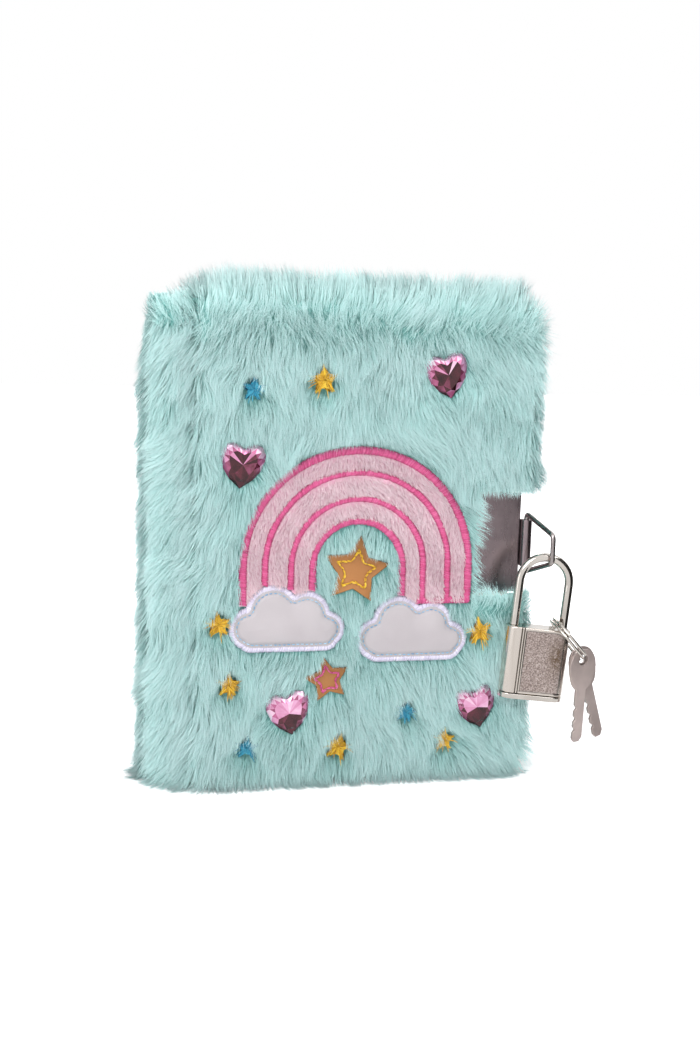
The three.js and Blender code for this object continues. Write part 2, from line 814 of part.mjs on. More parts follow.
// Split ring, hanging from the toe side of the shackle, and two flat keys on it
function ringFrame() {
  const slope = THREE.MathUtils.degToRad(ringSlope);
  const inner = new THREE.Vector3(ringEntry.x, 0, ringEntry.z);
  const along = new THREE.Vector3(Math.cos(slope), 0, -Math.sin(slope));
  const normal = new THREE.Vector3(Math.sin(slope), 0, Math.cos(slope));
  return { along, normal, centre: inner.clone().addScaledVector(along, ringRadius) };
}

function addKeyRing(parent) {
  const { along, normal, centre } = ringFrame();
  const coil = new Helix(ringRadius, ringPitch, ringTurns);
  const ring = roundTube(coil, ringWire, 52, 6).translate(0, 0, (-ringPitch * ringTurns) / 2);
  const across = new THREE.Vector3().crossVectors(normal, along);
  const basis = new THREE.Matrix4().makeBasis(along, across, normal).setPosition(centre);
  addMesh(parent, "key_ring", ring.applyMatrix4(basis), keyMetal);
}

function keyShape() {
  const shape = new THREE.Shape();
  const half = keyBowWidth / 2;
  const blade = keyBladeWidth / 2;
  const holeDrop = keyHole / 2 + 1.6;
  const tip = -keyLength + holeDrop;
  const neck = -keyBowLength + holeDrop;
  shape.moveTo(0, holeDrop);
  shape.quadraticCurveTo(half * 0.9, holeDrop, half, (holeDrop + neck) / 2 + 1);
  shape.quadraticCurveTo(half * 0.8, neck + 1, blade, neck);
  shape.lineTo(blade, tip + 1.5);
  shape.lineTo(blade * 0.4, tip);
  shape.lineTo(-blade * 0.6, tip);
  shape.lineTo(-blade, tip + 1.2);
  const cuts = [4, 7.5, 11];
  for (const along of cuts) {
    shape.lineTo(-blade, tip + along - 1);
    shape.lineTo(-blade + 0.9, tip + along);
    shape.lineTo(-blade, tip + along + 1);
  }
  shape.lineTo(-blade, neck);
  shape.quadraticCurveTo(-half * 0.8, neck + 1, -half, (holeDrop + neck) / 2 + 1);
  shape.quadraticCurveTo(-half * 0.9, holeDrop, 0, holeDrop);
  const hole = new THREE.Path();
  hole.absarc(0, 0, keyHole / 2, 0, 2 * Math.PI);
  shape.holes.push(hole);
  return shape;
}

function addKeys(parent) {
  const { along, normal, centre } = ringFrame();
  const across = new THREE.Vector3().crossVectors(normal, along);
  keyLean.forEach((lean, i) => {
    const angle = THREE.MathUtils.degToRad((i ? 1 : -1) * keySpread);
    const wire = centre
      .clone()
      .addScaledVector(along, ringRadius * Math.cos(angle))
      .addScaledVector(across, ringRadius * Math.sin(angle));
    const key = plateFrom(keyShape(), keyThickness / 2, keyThickness, 5);
    key.translate(0, 0, -keyDrop);
    key.rotateZ(THREE.MathUtils.degToRad(keyTurn));
    key.rotateY(THREE.MathUtils.degToRad(lean - lockTilt));
    addMesh(parent, `key_${i + 1}`, key.translate(wire.x, wire.y, wire.z), keyMetal);
  });
}

// The whole book
const frontCover = new THREE.Group();
addCover(frontCover, "front");
addBail(frontCover, "front_bail", frontBailSwing);
addApplique(frontCover);
addOrnaments(frontCover);
journal.add(frontCover);

const backCover = new THREE.Group();
addCover(backCover, "back");
addBail(backCover, "back_bail", backBailSwing);
backCover.scale.y = -1;
journal.add(backCover);

addTextBlock(journal);
addSpine(journal);

// The padlock hangs with its arch on the lower leg of the front bail.
const swing = THREE.MathUtils.degToRad(frontBailSwing);
const legDrop = ((bailHalfSpan - bailTipHeight / 2) * lockAlongBail) / bailLength;
const hangPoint = new THREE.Vector3(
  knuckleX + lockAlongBail * Math.cos(swing),
  -knuckleY - lockAlongBail * Math.sin(swing),
  coverMiddle - bailHalfSpan + legDrop
);
const padlock = new THREE.Group();
const hung = new THREE.Group();
addLock(hung);
addKeyRing(hung);
addKeys(hung);
hung.position.z = -(shackleRise - shackleWire - bailWire / 2 - seam);
padlock.add(hung);
padlock.position.copy(hangPoint);
padlock.rotation.set(0, THREE.MathUtils.degToRad(lockTilt), THREE.MathUtils.degToRad(lockYaw), "ZYX");
journal.add(padlock);

journal.position.x = -(spineOuter + spinePlushThickness / 2);

export default journal;
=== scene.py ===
"""Looks of the plush journal: long fur, applique, gems, clasp, padlock and keys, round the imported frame.

Metres, in the frame of the CAD model: +X to the fore edge, -Y out of the front cover, +Z up.
"""

import math

import bmesh
import bpy
import numpy as np
from mathutils import Matrix, Vector, kdtree
from mathutils.geometry import tessellate_polygon


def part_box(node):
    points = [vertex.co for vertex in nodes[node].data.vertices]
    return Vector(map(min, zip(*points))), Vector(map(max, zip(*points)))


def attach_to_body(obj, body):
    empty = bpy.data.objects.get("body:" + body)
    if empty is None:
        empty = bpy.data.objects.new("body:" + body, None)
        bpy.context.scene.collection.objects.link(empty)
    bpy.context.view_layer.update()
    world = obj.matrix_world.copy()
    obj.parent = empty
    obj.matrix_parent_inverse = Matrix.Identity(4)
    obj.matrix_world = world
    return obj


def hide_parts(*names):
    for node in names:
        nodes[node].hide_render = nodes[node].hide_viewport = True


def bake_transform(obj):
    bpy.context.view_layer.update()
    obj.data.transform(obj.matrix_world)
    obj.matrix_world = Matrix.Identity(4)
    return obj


MM = 0.001
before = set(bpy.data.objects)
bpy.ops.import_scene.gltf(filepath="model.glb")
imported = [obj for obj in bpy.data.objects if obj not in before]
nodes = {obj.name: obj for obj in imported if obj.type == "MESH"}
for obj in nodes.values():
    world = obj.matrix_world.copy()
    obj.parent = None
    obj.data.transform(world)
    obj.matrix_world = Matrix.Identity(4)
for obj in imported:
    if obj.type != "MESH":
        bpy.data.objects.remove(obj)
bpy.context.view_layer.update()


def box_in_mm(node):
    return [np.array(corner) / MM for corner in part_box(node)]


# Places in the frame, in millimetres
front_low, front_high = box_in_mm("front_plush")
FACE = -float(front_low[1])  # the covers' outer faces lie at y = -FACE and y = +FACE
TOP = float(front_high[2])
FORE = float(front_high[0])
HEM = float(front_low[0])
MIDDLE_Z = TOP / 2
SPINE = float(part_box("spine_plush")[0].x) / MM
plate_low, plate_high = box_in_mm("front_plate")
arch_low, arch_high = box_in_mm("applique_outer_band")
ARCH_X = float(arch_low[0] + arch_high[0]) / 2
ARCH_R = float(arch_high[0] - arch_low[0]) / 2
ARCH_Z = float(arch_high[2]) - ARCH_R
ARCH_LEG = ARCH_Z - float(arch_low[2])
BAND = 7.4  # width of one band of the arch
BAND_GAP = 0.6
BAND_STEP = BAND + BAND_GAP


def middle(node):
    low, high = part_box(node)
    return (np.array(low) + np.array(high)) / 2 / MM


# Materials


def srgb(r, g, b):
    def linear(c):
        c /= 255
        return c / 12.92 if c <= 0.04045 else ((c + 0.055) / 1.055) ** 2.4

    return (linear(r), linear(g), linear(b), 1.0)


class Tree:
    """A small helper that adds and links the nodes of a material or the world."""

    def __init__(self, tree):
        self.tree = tree

    def add(self, kind, **values):
        node = self.tree.nodes.new(kind)
        for key, value in values.items():
            setattr(node, key, value)
        return node

    def link(self, out, into):
        self.tree.links.new(out, into)

    def feed(self, values, sockets):
        """Links the values that come from other nodes and sets the others."""
        for value, socket in zip(values, sockets):
            if isinstance(value, bpy.types.NodeSocket):
                self.link(value, socket)
            else:
                socket.default_value = value

    def attribute(self, name):
        return self.add("ShaderNodeAttribute", attribute_name=name).outputs["Fac"]

    def place(self, scale=(1, 1, 1)):
        where = self.add("ShaderNodeTexCoord")
        mapping = self.add("ShaderNodeMapping")
        mapping.inputs["Scale"].default_value = scale
        self.link(where.outputs["Object"], mapping.inputs["Vector"])
        return mapping.outputs["Vector"]

    def noise(self, scale, detail=2.0, roughness=0.5, vector=None):
        node = self.add("ShaderNodeTexNoise")
        node.inputs["Scale"].default_value = scale
        node.inputs["Detail"].default_value = detail
        node.inputs["Roughness"].default_value = roughness
        self.link(vector or self.place(), node.inputs["Vector"])
        return node.outputs["Fac"]

    def ramp(self, value, *stops):
        node = self.add("ShaderNodeValToRGB")
        elements = node.color_ramp.elements
        while len(elements) < len(stops):
            elements.new(0.5)
        for element, (at, colour) in zip(elements, stops):
            element.position = at
            element.color = colour
        self.link(value, node.inputs["Fac"])
        return node.outputs["Color"]

    def gate(self, value, start, end):
        """Black up to start and white from end on."""
        return self.ramp(value, (start, (0, 0, 0, 1)), (end, (1, 1, 1, 1)))

    def mix(self, factor, a, b):
        node = self.add("ShaderNodeMix", data_type="RGBA")
        self.feed((factor, a, b), (node.inputs[0], node.inputs[6], node.inputs[7]))
        return node.outputs[2]

    def math(self, operation, *values):
        node = self.add("ShaderNodeMath", operation=operation)
        self.feed(values, node.inputs)
        return node.outputs[0]

    def add_range(self, value, target, source=(0.3, 0.7)):
        """Maps one range of values, by default the middle of a noise, to another."""
        node = self.add("ShaderNodeMapRange")
        self.link(value, node.inputs["Value"])
        for key, limit in zip(("From Min", "From Max", "To Min", "To Max"), (*source, *target)):
            node.inputs[key].default_value = limit
        return node.outputs["Result"]


class Nodes(Tree):
    """The nodes of one new material."""

    def __init__(self, name):
        self.material = bpy.data.materials.new(name)
        self.material.use_nodes = True
        super().__init__(self.material.node_tree)
        self.shader = self.tree.nodes["Principled BSDF"]

    def set(self, **values):
        for key, value in values.items():
            self.shader.inputs[key.replace("_", " ")].default_value = value

    def colour(self, value):
        self.link(value, self.shader.inputs["Base Color"])

    def roughness(self, value):
        self.link(value, self.shader.inputs["Roughness"])

    def bump(self, height, distance):
        node = self.add("ShaderNodeBump")
        node.inputs["Distance"].default_value = distance
        node.inputs["Strength"].default_value = 1.0
        self.link(height, node.inputs["Height"])
        self.link(node.outputs["Normal"], self.shader.inputs["Normal"])


def strand_material(name, root, low, tip, pale):
    """Fur or thread: darker at the roots as painted shade for the depth of the pile, paler at the tips,
    with a tone of its own for each lock.
    """
    m = Nodes(name)
    along = m.attribute("along")
    tone = m.attribute("tone")
    # painted shade: the roots get the darker colours, standing in for the shade deep in the pile
    depth = m.ramp(along, (0.0, root), (0.3, low), (0.75, tip))
    fur = m.mix(tone, depth, m.ramp(along, (0.0, low), (0.35, tip), (0.85, pale)))
    # the mix towards the root colours darkens dark patches that vary at random, and paints shade round the
    # applique, gems and embroidered stars
    m.colour(m.mix(m.attribute("patches_and_painted_shade"), fur, m.ramp(along, (0.0, root), (1.0, low))))
    m.set(Roughness=0.8, Specular_IOR_Level=0.2, Sheen_Weight=0.15, Sheen_Roughness=0.5)
    return m.material


def plain_material(name, dark, light, scale, roughness=0.85, bump=0.00004, **finish):
    """Cloth, board, foam or paper: a fine grain between two tones."""
    m = Nodes(name)
    grain = m.noise(scale, 3.0)
    m.colour(m.ramp(grain, (0.3, dark), (0.7, light)))
    m.set(**{"Roughness": roughness, "Specular_IOR_Level": 0.25, **finish})
    m.bump(grain, bump)
    return m.material


def cloth_material(name, dark, light):
    return plain_material(name, dark, light, 900, 0.9, 0.00015, Specular_IOR_Level=0.2, Sheen_Weight=0.2)


def metal_material(name, dark, light, rough=(0.12, 0.3), grain=(1, 1, 1), scale=400, bump=0.00001,
                   metallic=1.0):
    """Metal between two tones, with a fine grain that can be drawn out along one axis."""
    m = Nodes(name)
    fine = m.noise(scale, 4.0, 0.6, m.place(grain))
    broad = m.noise(90, 3.0, 0.6)
    m.colour(m.mix(m.gate(broad, 0.35, 0.7), dark, light))
    both = m.math("ADD", m.math("MULTIPLY", fine, 0.5), m.math("MULTIPLY", broad, 0.5))
    m.roughness(m.add_range(both, rough))
    m.set(Metallic=metallic)
    m.bump(fine, bump)
    return m.material


mint_fur = strand_material(
    "mint_fur", srgb(126, 200, 194), srgb(180, 231, 226), srgb(204, 243, 240), srgb(221, 249, 248)
)
mint_cloth = cloth_material("mint_cloth", srgb(116, 184, 178), srgb(150, 210, 205))
pink_fur = strand_material(
    "pink_fur", srgb(224, 174, 188), srgb(240, 198, 209), srgb(249, 218, 226), srgb(252, 234, 239)
)
pink_cloth = cloth_material("pink_cloth", srgb(226, 168, 192), srgb(240, 196, 212))
polished_steel = metal_material("polished_steel", srgb(150, 142, 142), srgb(186, 178, 176))
plate_metal = metal_material(
    "plate_metal", srgb(136, 122, 126), srgb(162, 147, 150), (0.22, 0.34), (1, 1, 0.12), 1400, 0.000008
)
nickel = metal_material("nickel", srgb(196, 189, 182), srgb(222, 216, 209), (0.06, 0.14))
key_metal = metal_material(
    "key_metal", srgb(164, 150, 146), srgb(190, 175, 170), (0.28, 0.42), scale=1300, bump=0.00002,
    metallic=0.45,
)
brass = metal_material("brass", (0.5, 0.34, 0.12, 1), (0.62, 0.45, 0.18, 1), (0.2, 0.35))


# Meshes


def linked(name, data):
    obj = bpy.data.objects.new(name, data)
    bpy.context.scene.collection.objects.link(obj)
    return obj


def new_object(name, data, material, body=None):
    obj = linked(name, data)
    if material:
        data.materials.append(material)
    if body:
        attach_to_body(obj, body)
    return obj


def rides(body):
    """A function that gives an object its body."""

    def attach(obj):
        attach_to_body(obj, body)

    return attach


def on_front():
    return rides("front_cover")


def mesh_from(name, points, faces, smooth=True):
    """A mesh from points in millimetres."""
    mesh = bpy.data.meshes.new(name)
    mesh.from_pydata([tuple(p * MM for p in point) for point in np.asarray(points, float)], [], faces)
    mesh.polygons.foreach_set("use_smooth", [smooth] * len(mesh.polygons))
    mesh.update()
    return mesh


def packed_mesh(name, points, corners, starts):
    """A smooth mesh from arrays: points in millimetres, corners of all faces, and where each starts."""
    mesh = bpy.data.meshes.new(name)
    mesh.vertices.add(len(points))
    mesh.vertices.foreach_set("co", (points * MM).astype(np.float32).reshape(-1))
    mesh.loops.add(len(corners))
    mesh.loops.foreach_set("vertex_index", corners.astype(np.int32))
    mesh.polygons.add(len(starts))
    mesh.polygons.foreach_set("loop_start", starts.astype(np.int32))
    mesh.update(calc_edges=True)
    mesh.polygons.foreach_set("use_smooth", np.ones(len(starts), bool))
    return mesh


def quad_mesh(name, points, faces):
    return packed_mesh(name, points, faces.reshape(-1), np.arange(0, faces.size, 4))


def grid_faces(rows, columns, closed=False):
    """Quads between the rows of a grid of points, where closed joins the last column to the first."""
    k, s = np.meshgrid(np.arange(rows - 1), np.arange(columns if closed else columns - 1), indexing="ij")
    here = k * columns + s
    after = k * columns + (s + 1) % columns
    return np.stack([here, after, after + columns, here + columns], axis=-1).reshape(-1, 4)


def set_values(mesh, key, values, domain="POINT"):
    """Keeps one number for each point, or each face, of a mesh."""
    data = mesh.attributes.new(key, "FLOAT", domain).data
    data.foreach_set("value", np.asarray(values, np.float32).reshape(-1))


def cells(count, slimness=1):
    """Corners and size of count equal cells on the map that colours are baked to."""
    columns = math.ceil(math.sqrt(count * slimness))
    cell = np.array([1 / columns, 1 / math.ceil(count / columns)])
    corner = np.stack([np.arange(count) % columns, np.arange(count) // columns], axis=1) * cell
    return corner, cell


def bake_map(mesh, spots):
    mesh.uv_layers.new(name="OFBake").data.foreach_set("uv", spots.astype(np.float32).reshape(-1))


PLANE_WAVES = 5


def waves(p, seed, scale):
    """Smooth noise from -1 to 1 made of a few plane waves; p is (N, 3) in millimetres."""
    rng = np.random.default_rng(seed)
    total = np.zeros(len(p))
    for _ in range(PLANE_WAVES):
        direction = rng.normal(size=3)
        direction /= np.linalg.norm(direction)
        length = scale * rng.uniform(0.6, 1.6)
        total += np.sin(p @ direction * (2 * np.pi / length) + rng.uniform(0, 2 * np.pi))
    return total / math.sqrt(PLANE_WAVES) / 1.2


def unit(v):
    return v / np.maximum(np.linalg.norm(v, axis=-1, keepdims=True), 1e-9)


def face_normals(points, triangles):
    corners = points[triangles]
    return unit(np.cross(corners[:, 1] - corners[:, 0], corners[:, 2] - corners[:, 0]))


def sample_surface(points, triangles, density, seed):
    """Random points on triangles, with the normals: density per square millimetre."""
    rng = np.random.default_rng(seed)
    a, b, c = points[triangles[:, 0]], points[triangles[:, 1]], points[triangles[:, 2]]
    cross = np.cross(b - a, c - a)
    area = np.linalg.norm(cross, axis=1) / 2
    count = int(area.sum() * density)
    pick = rng.choice(len(triangles), count, p=area / area.sum())
    u, v = rng.random(count), rng.random(count)
    over = u + v > 1
    u[over], v[over] = 1 - u[over], 1 - v[over]
    spots = a[pick] + u[:, None] * (b - a)[pick] + v[:, None] * (c - a)[pick]
    return spots, unit(cross[pick])


def mesh_arrays(obj):
    mesh = obj.data
    mesh.calc_loop_triangles()
    points = np.empty(len(mesh.vertices) * 3)
    mesh.vertices.foreach_get("co", points)
    triangles = np.empty(len(mesh.loop_triangles) * 3, np.int32)
    mesh.loop_triangles.foreach_get("vertices", triangles)
    return points.reshape(-1, 3) / MM, triangles.reshape(-1, 3)


MOST_STRANDS = 38000  # in one piece
STEPS = (0.0, 0.3, 0.65, 1.0)  # places along a strand
BEND_STEPS = 12  # in which a strand's bend is followed
STRAND_WIDTH = 0.13
STRANDS_IN_LOCK = 5
LOOSE_SHARE = 0.12  # of the strands, which keep out of the locks
CURL = 0.12  # how far strands wander, as a share of their length


def bent_paths(normals, heading, steep, length):
    """Points at STEPS along strands that start along the normal and bend over to their heading."""
    marks = {round(step * BEND_STEPS): i for i, step in enumerate(STEPS)}
    paths = np.zeros((len(normals), len(STEPS), 3))
    spot = np.zeros((len(normals), 3))
    for k in range(BEND_STEPS + 1):
        if k in marks:
            paths[:, marks[k]] = spot
        t = (k + 0.5) / BEND_STEPS
        bend = steep * (0.35 + 0.65 * min(1.0, t * 1.8)) * (math.pi / 2)
        ahead = normals * np.cos(bend)[:, None] + heading * np.sin(bend)[:, None]
        spot = spot + ahead * (length / BEND_STEPS)[:, None]
    return paths


def nearest(roots, leaders):
    """The leader that each root lies nearest to."""
    tree = kdtree.KDTree(len(leaders))
    for i, leader in enumerate(leaders):
        tree.insert(Vector(roots[leader]), i)
    tree.balance()
    return np.fromiter((leaders[tree.find(Vector(root))[1]] for root in roots), np.int64, len(roots))


def splay_on_floor(curve, normals, floor, rng):
    """Turns the parts of strands that would pass the floor outwards, and lays them on it."""
    z = curve[:, :, 2]
    under = np.maximum(floor + 0.25 - z, 0)
    splay = unit(normals * np.array([1, 1, 0.0]) + 1e-6)
    curve += splay[:, None, :] * (0.75 * under)[:, :, None]
    curve[:, :, 2] = np.where(under > 0, floor + 0.05 + 0.2 * rng.random((len(curve), 1)), z)


def in_locks(roots, paths, gather, rng):
    """Strands leaned towards the leaders of their locks: the curves, the leaders, which stay loose."""
    count = len(roots)
    leaders = rng.permutation(count)[: max(1, int(count / STRANDS_IN_LOCK))]
    chief = nearest(roots, leaders)
    loose = rng.random(count) < LOOSE_SHARE
    share = np.where(loose, 0.1, gather) * rng.uniform(0.55, 1.1, count)
    weight = share[:, None, None] * (np.array(STEPS) ** 1.3)[None, :, None]
    own = roots[:, None, :] + paths
    leading = roots[chief][:, None, :] + paths[chief]
    return own * (1 - weight) + leading * weight, chief, loose


def strips(curve, normals, loose, rng):
    """Seven points for each strand: a strip that narrows to its tip, turned by a random angle."""
    count = len(curve)
    along = unit(curve[:, -1] - curve[:, 0])
    across = unit(np.cross(along, normals))
    lift = unit(np.cross(across, along))
    turn = rng.uniform(-1.1, 1.1, count)[:, None]
    wide = across * np.cos(turn) + lift * np.sin(turn)
    half = np.array([1.0, 0.95, 0.7]) * 0.5
    thick = STRAND_WIDTH * rng.uniform(0.7, 1.25, count) * np.where(loose, 0.7, 1)
    reach = wide[:, None, :] * (half[None, :] * thick[:, None])[:, :, None]
    pairs = np.stack([curve[:, :3] - reach, curve[:, :3] + reach], axis=2).reshape(count, 6, 3)
    return np.concatenate([pairs, curve[:, 3:]], axis=1)


def strands(prefix, roots, normals, flow, length, lie, material, attach, seed, gather=0.28, floor=None,
            tone_scale=24.0, patches_and_painted_shade=None, light=0.0):
    """Pieces of fur: tapered strands that leave along the normal, bend into the flow and gather in locks.

    length and lie are one value for each strand; lie is how far over it bends, from 0 upright to 1 flat.
    """
    rng = np.random.default_rng(seed)
    count = len(roots)
    flow = unit(flow - normals * np.sum(flow * normals, axis=1, keepdims=True))
    side = np.cross(normals, flow)
    angle = rng.normal(0, 0.16, count)
    angle = angle + 0.35 * waves(roots, seed + 1, 11) + 0.3 * waves(roots, seed + 2, 31)
    heading = flow * np.cos(angle)[:, None] + side * np.sin(angle)[:, None]
    length = length * rng.uniform(0.8, 1.15, count)
    steep = np.clip(lie + 0.10 * waves(roots, seed + 3, 9) + rng.normal(0, 0.04, count), 0.02, 0.97)
    paths = bent_paths(normals, heading, steep, length)
    curve, chief, loose = in_locks(roots, paths, gather, rng)
    wander = rng.normal(0, 1, (count, 3)) * (CURL * length)[:, None] * 0.35
    curve += wander[:, None, :] * (np.array(STEPS) ** 2)[None, :, None]
    if floor is not None:
        splay_on_floor(curve, normals, floor, rng)
    points = strips(curve, normals, loose, rng)
    by_place = 0.52 + 0.16 * waves(roots[chief] + 0.01, seed + 5, tone_scale)
    by_lock = 0.11 * rng.normal(0, 1, count)[chief]
    # light is painted light: it raises the tone, so that the standing pile is painted paler
    tone = np.clip(by_place + by_lock + rng.normal(0, 0.10, count) + light, 0, 1)
    patches_and_painted_shade = np.zeros(count) if patches_and_painted_shade is None else patches_and_painted_shade
    shade = unit(normals * 0.9 + heading * 0.15 + rng.normal(0, 0.13, (count, 3)))
    order = rng.permutation(count)
    parts = max(1, math.ceil(count / MOST_STRANDS))
    for part in range(parts):
        chosen = np.sort(order[part::parts])
        name = prefix if parts == 1 else f"{prefix}_{part + 1}"
        attach(strand_piece(name, points[chosen], tone[chosen], patches_and_painted_shade[chosen], shade[chosen], material))


# A strand's seven points, in pairs from its root, then its tip: how far along, and where in its map cell
ALONG = np.array([*np.repeat(STEPS[:3], 2), STEPS[3]])
IN_CELL = np.array([(x, y) for y in (0.04, 0.32, 0.65) for x in (0.1, 0.9)] + [(0.5, 0.97)])
QUADS = np.array([[0, 1, 3, 2], [2, 3, 5, 4]])
TIP = np.array([4, 5, 6])
FACE_STARTS = np.array([0, 4, 8])


def strand_piece(name, points, tone, patches_and_painted_shade, shade, material):
    """One piece of fur: each strand is two quads and a triangle, with its own cell on the baked map."""
    count, size = points.shape[:2]
    base = np.arange(count)[:, None] * size
    corners = np.concatenate([(base[:, :, None] + QUADS).reshape(count, 8), base + TIP], axis=1)
    starts = (np.arange(count)[:, None] * corners.shape[1] + FACE_STARTS).reshape(-1)
    corners = corners.reshape(-1)
    mesh = packed_mesh(name, points.reshape(-1, 3), corners, starts)
    set_values(mesh, "along", np.tile(ALONG, count))
    set_values(mesh, "tone", np.repeat(tone, size))
    set_values(mesh, "patches_and_painted_shade", np.repeat(patches_and_painted_shade, size))
    corner, cell = cells(count, 3)
    bake_map(mesh, (corner[:, None, :] + IN_CELL[None] * cell).reshape(-1, 2)[corners])
    normals = mesh.attributes.new("custom_normal", "FLOAT_VECTOR", "POINT")
    normals.data.foreach_set("vector", np.repeat(shade, size, axis=0).astype(np.float32).reshape(-1))
    return new_object(name, mesh, material)


# Fur

FUR_LENGTH, SPINE_LENGTH, SHORTEST = 9.5, 8.0, 0.8
FUR_LIE = 0.66
TOP_ZONE, TOP_BLEND = 13, 12  # where the pile stands up under the top edge, and how softly that starts
TOP_PAINTED_LIGHT = 0.12  # painted light: how much paler the standing pile is painted
LIP_BELOW, BESIDE_NOTCH = 16, 17  # from the middle: where the lip under the notch starts, and half its side


def polygon_distance(p, corners):
    """Distance from points (N, 2) to a closed outline, negative inside."""
    corners = np.asarray(corners, float)
    best = np.full(len(p), 1e9)
    inside = np.zeros(len(p), bool)
    for a, b in zip(corners, np.roll(corners, -1, axis=0)):
        edge = b - a
        t = np.clip(((p - a) @ edge) / (edge @ edge), 0, 1)
        best = np.minimum(best, np.linalg.norm(p - a - t[:, None] * edge, axis=1))
        crosses = (a[1] > p[:, 1]) != (b[1] > p[:, 1])
        with np.errstate(divide="ignore", invalid="ignore"):
            x = a[0] + (p[:, 1] - a[1]) * edge[0] / (edge[1] if edge[1] else 1e-12)
        inside ^= crosses & (p[:, 0] < x)
    return np.where(inside, -best, best)


def star_outline(x, z, radius, depth, turn):
    angle = np.pi / 2 + np.arange(10) * np.pi / 5 - math.radians(turn)
    reach = np.where(np.arange(10) % 2, radius * depth, radius)
    return np.stack([x + reach * np.cos(angle), z + reach * np.sin(angle)], axis=1)


GEM_WIDTH = 13.8


def heart_corners(width):
    """Corners of a cut heart in its own plane, from the cleft round to the right, with its tip down."""
    r = width / 4
    angles = (2.25, 1.6, 0.95, 0.3, -0.3)
    lobe = [(0.98 * r + 1.02 * r * math.cos(a), 0.72 * r + 1.02 * r * math.sin(a)) for a in angles]
    right = [*lobe, (1.62 * r, -0.62 * r), (1.0 * r, -1.42 * r)]
    left = [(-x, z) for x, z in reversed(right)]
    return np.array([(0, 1.3 * r), *right, (0, -2.2 * r), *left])


def placed(flat, place, turn):
    """Points of a small shape in its own plane, put on the cover and turned clockwise by some degrees."""
    c, s = math.cos(math.radians(-turn)), math.sin(math.radians(-turn))
    return np.array(place)[[0, 2]] + flat @ np.array([[c, s], [-s, c]])


def arch_distance(p, outer, inner):
    """Distance to the arch of bands, negative inside."""
    x, z = p[:, 0] - ARCH_X, p[:, 1] - ARCH_Z
    r = np.where(z > 0, np.hypot(x, z), np.abs(x))
    ring = np.maximum(r - outer, inner - r)
    below = -ARCH_LEG - z
    return np.maximum(ring, below)


CLOUD_LOBES = [(-11.5, -1.0, 6.2), (-4.5, 4.0, 8.0), (6.0, 3.0, 7.0), (12.5, -1.5, 5.2)]
CLOUD_FOOT = (-15.0, 16.0, -8.0, 1.0, 4.0)  # left, right, bottom, top, corner radius


def cloud_centre(node):
    low, _ = box_in_mm(node)
    left = min(CLOUD_LOBES[0][0] - CLOUD_LOBES[0][2], CLOUD_FOOT[0])
    return float(low[0]) - left, float(low[2]) - CLOUD_FOOT[2]


def cloud_distance(p, centre):
    q = p - np.array(centre)
    best = np.min([np.hypot(q[:, 0] - x, q[:, 1] - z) - r for x, z, r in CLOUD_LOBES], axis=0)
    x0, x1, z0, z1, radius = CLOUD_FOOT
    half = np.array([(x1 - x0) / 2 - radius, (z1 - z0) / 2 - radius])
    d = np.abs(q - np.array([(x0 + x1) / 2, (z0 + z1) / 2])) - half
    box = np.linalg.norm(np.maximum(d, 0), axis=1) + np.minimum(np.maximum(d[:, 0], d[:, 1]), 0) - radius
    return np.minimum(best, box)


clouds = [cloud_centre("applique_cloud_left"), cloud_centre("applique_cloud_right")]
BIG_R, SMALL_R = 11.0, 7.5
BIG_TURN, SMALL_TURN = 8, -12
LEATHER_STAR_DEPTH = 0.52  # of the corners between the arms, as a share of the radius
big_centre = (ARCH_X - 0.5, ARCH_Z - 1.5)
small_centre = (51.0, 32.5)
gems = [middle(f"gem_heart_{i}") for i in range(1, 5)]
gem_turns = [6, -12, -10, -14]
gem_rims = [placed(heart_corners(GEM_WIDTH), gem, turn) for gem, turn in zip(gems, gem_turns)]
threads_at = [middle(f"embroidered_star_{i}") for i in range(1, 10)]
thread_radii = [4.6, 4.2, 4.0, 4.6, 4.3, 3.6, 3.6, 3.6, 3.6]
INNER_BAND_R = ARCH_R - 2 * BAND_STEP - BAND
star_rims = [
    star_outline(*big_centre, BIG_R, LEATHER_STAR_DEPTH, BIG_TURN),
    star_outline(*small_centre, SMALL_R, LEATHER_STAR_DEPTH, SMALL_TURN),
]


def applique_distance(p):
    found = [arch_distance(p, ARCH_R, INNER_BAND_R)]
    found += [cloud_distance(p, c) for c in clouds]
    found += [polygon_distance(p, rim) for rim in star_rims]
    return np.min(found, axis=0)


def gem_distance(p):
    return np.min([polygon_distance(p, rim) for rim in gem_rims], axis=0)


def thread_distance(p):
    found = [np.hypot(p[:, 0] - s[0], p[:, 1] - s[2]) - 0.7 * r for s, r in zip(threads_at, thread_radii)]
    return np.min(found, axis=0)


def notch_distance(p):
    """Distance from the clasp notch, negative inside."""
    x0 = plate_low[0] - 1
    half = (plate_high[2] - plate_low[2]) / 2
    d = np.stack([x0 - p[:, 0], np.abs(p[:, 1] - MIDDLE_Z) - half - 1], axis=1)
    return np.linalg.norm(np.maximum(d, 0), axis=1) + np.minimum(np.max(d, axis=1), 0)


def hull_faces(points, triangles, outward):
    """The triangles on the outside of a cover's plush; outward is -1 for the front and 1 for the back."""
    mirror = np.array([1, outward, 1])
    far = points[triangles].mean(axis=1) * mirror
    n = face_normals(points, triangles) * mirror
    rim = 3.1  # width of the turned-in edge that still counts as outside
    face_y, hem_width, hem_y = 12, 9, 9.9
    keep = (
        (n[:, 1] > 0.05) & (far[:, 1] > face_y)
        | (far[:, 0] > FORE - rim) & (n[:, 0] > 0.05)
        | (far[:, 2] > TOP - rim) & (n[:, 2] > 0.05)
        | (far[:, 2] < rim) & (n[:, 2] < -0.05)
        | (far[:, 0] < HEM + hem_width) & (n[:, 0] < -0.05) & (far[:, 1] > hem_y)
    )
    return triangles[keep]


FUR_REACH = 0.86  # how far along the cloth a lying strand's tip comes, as a share of its length


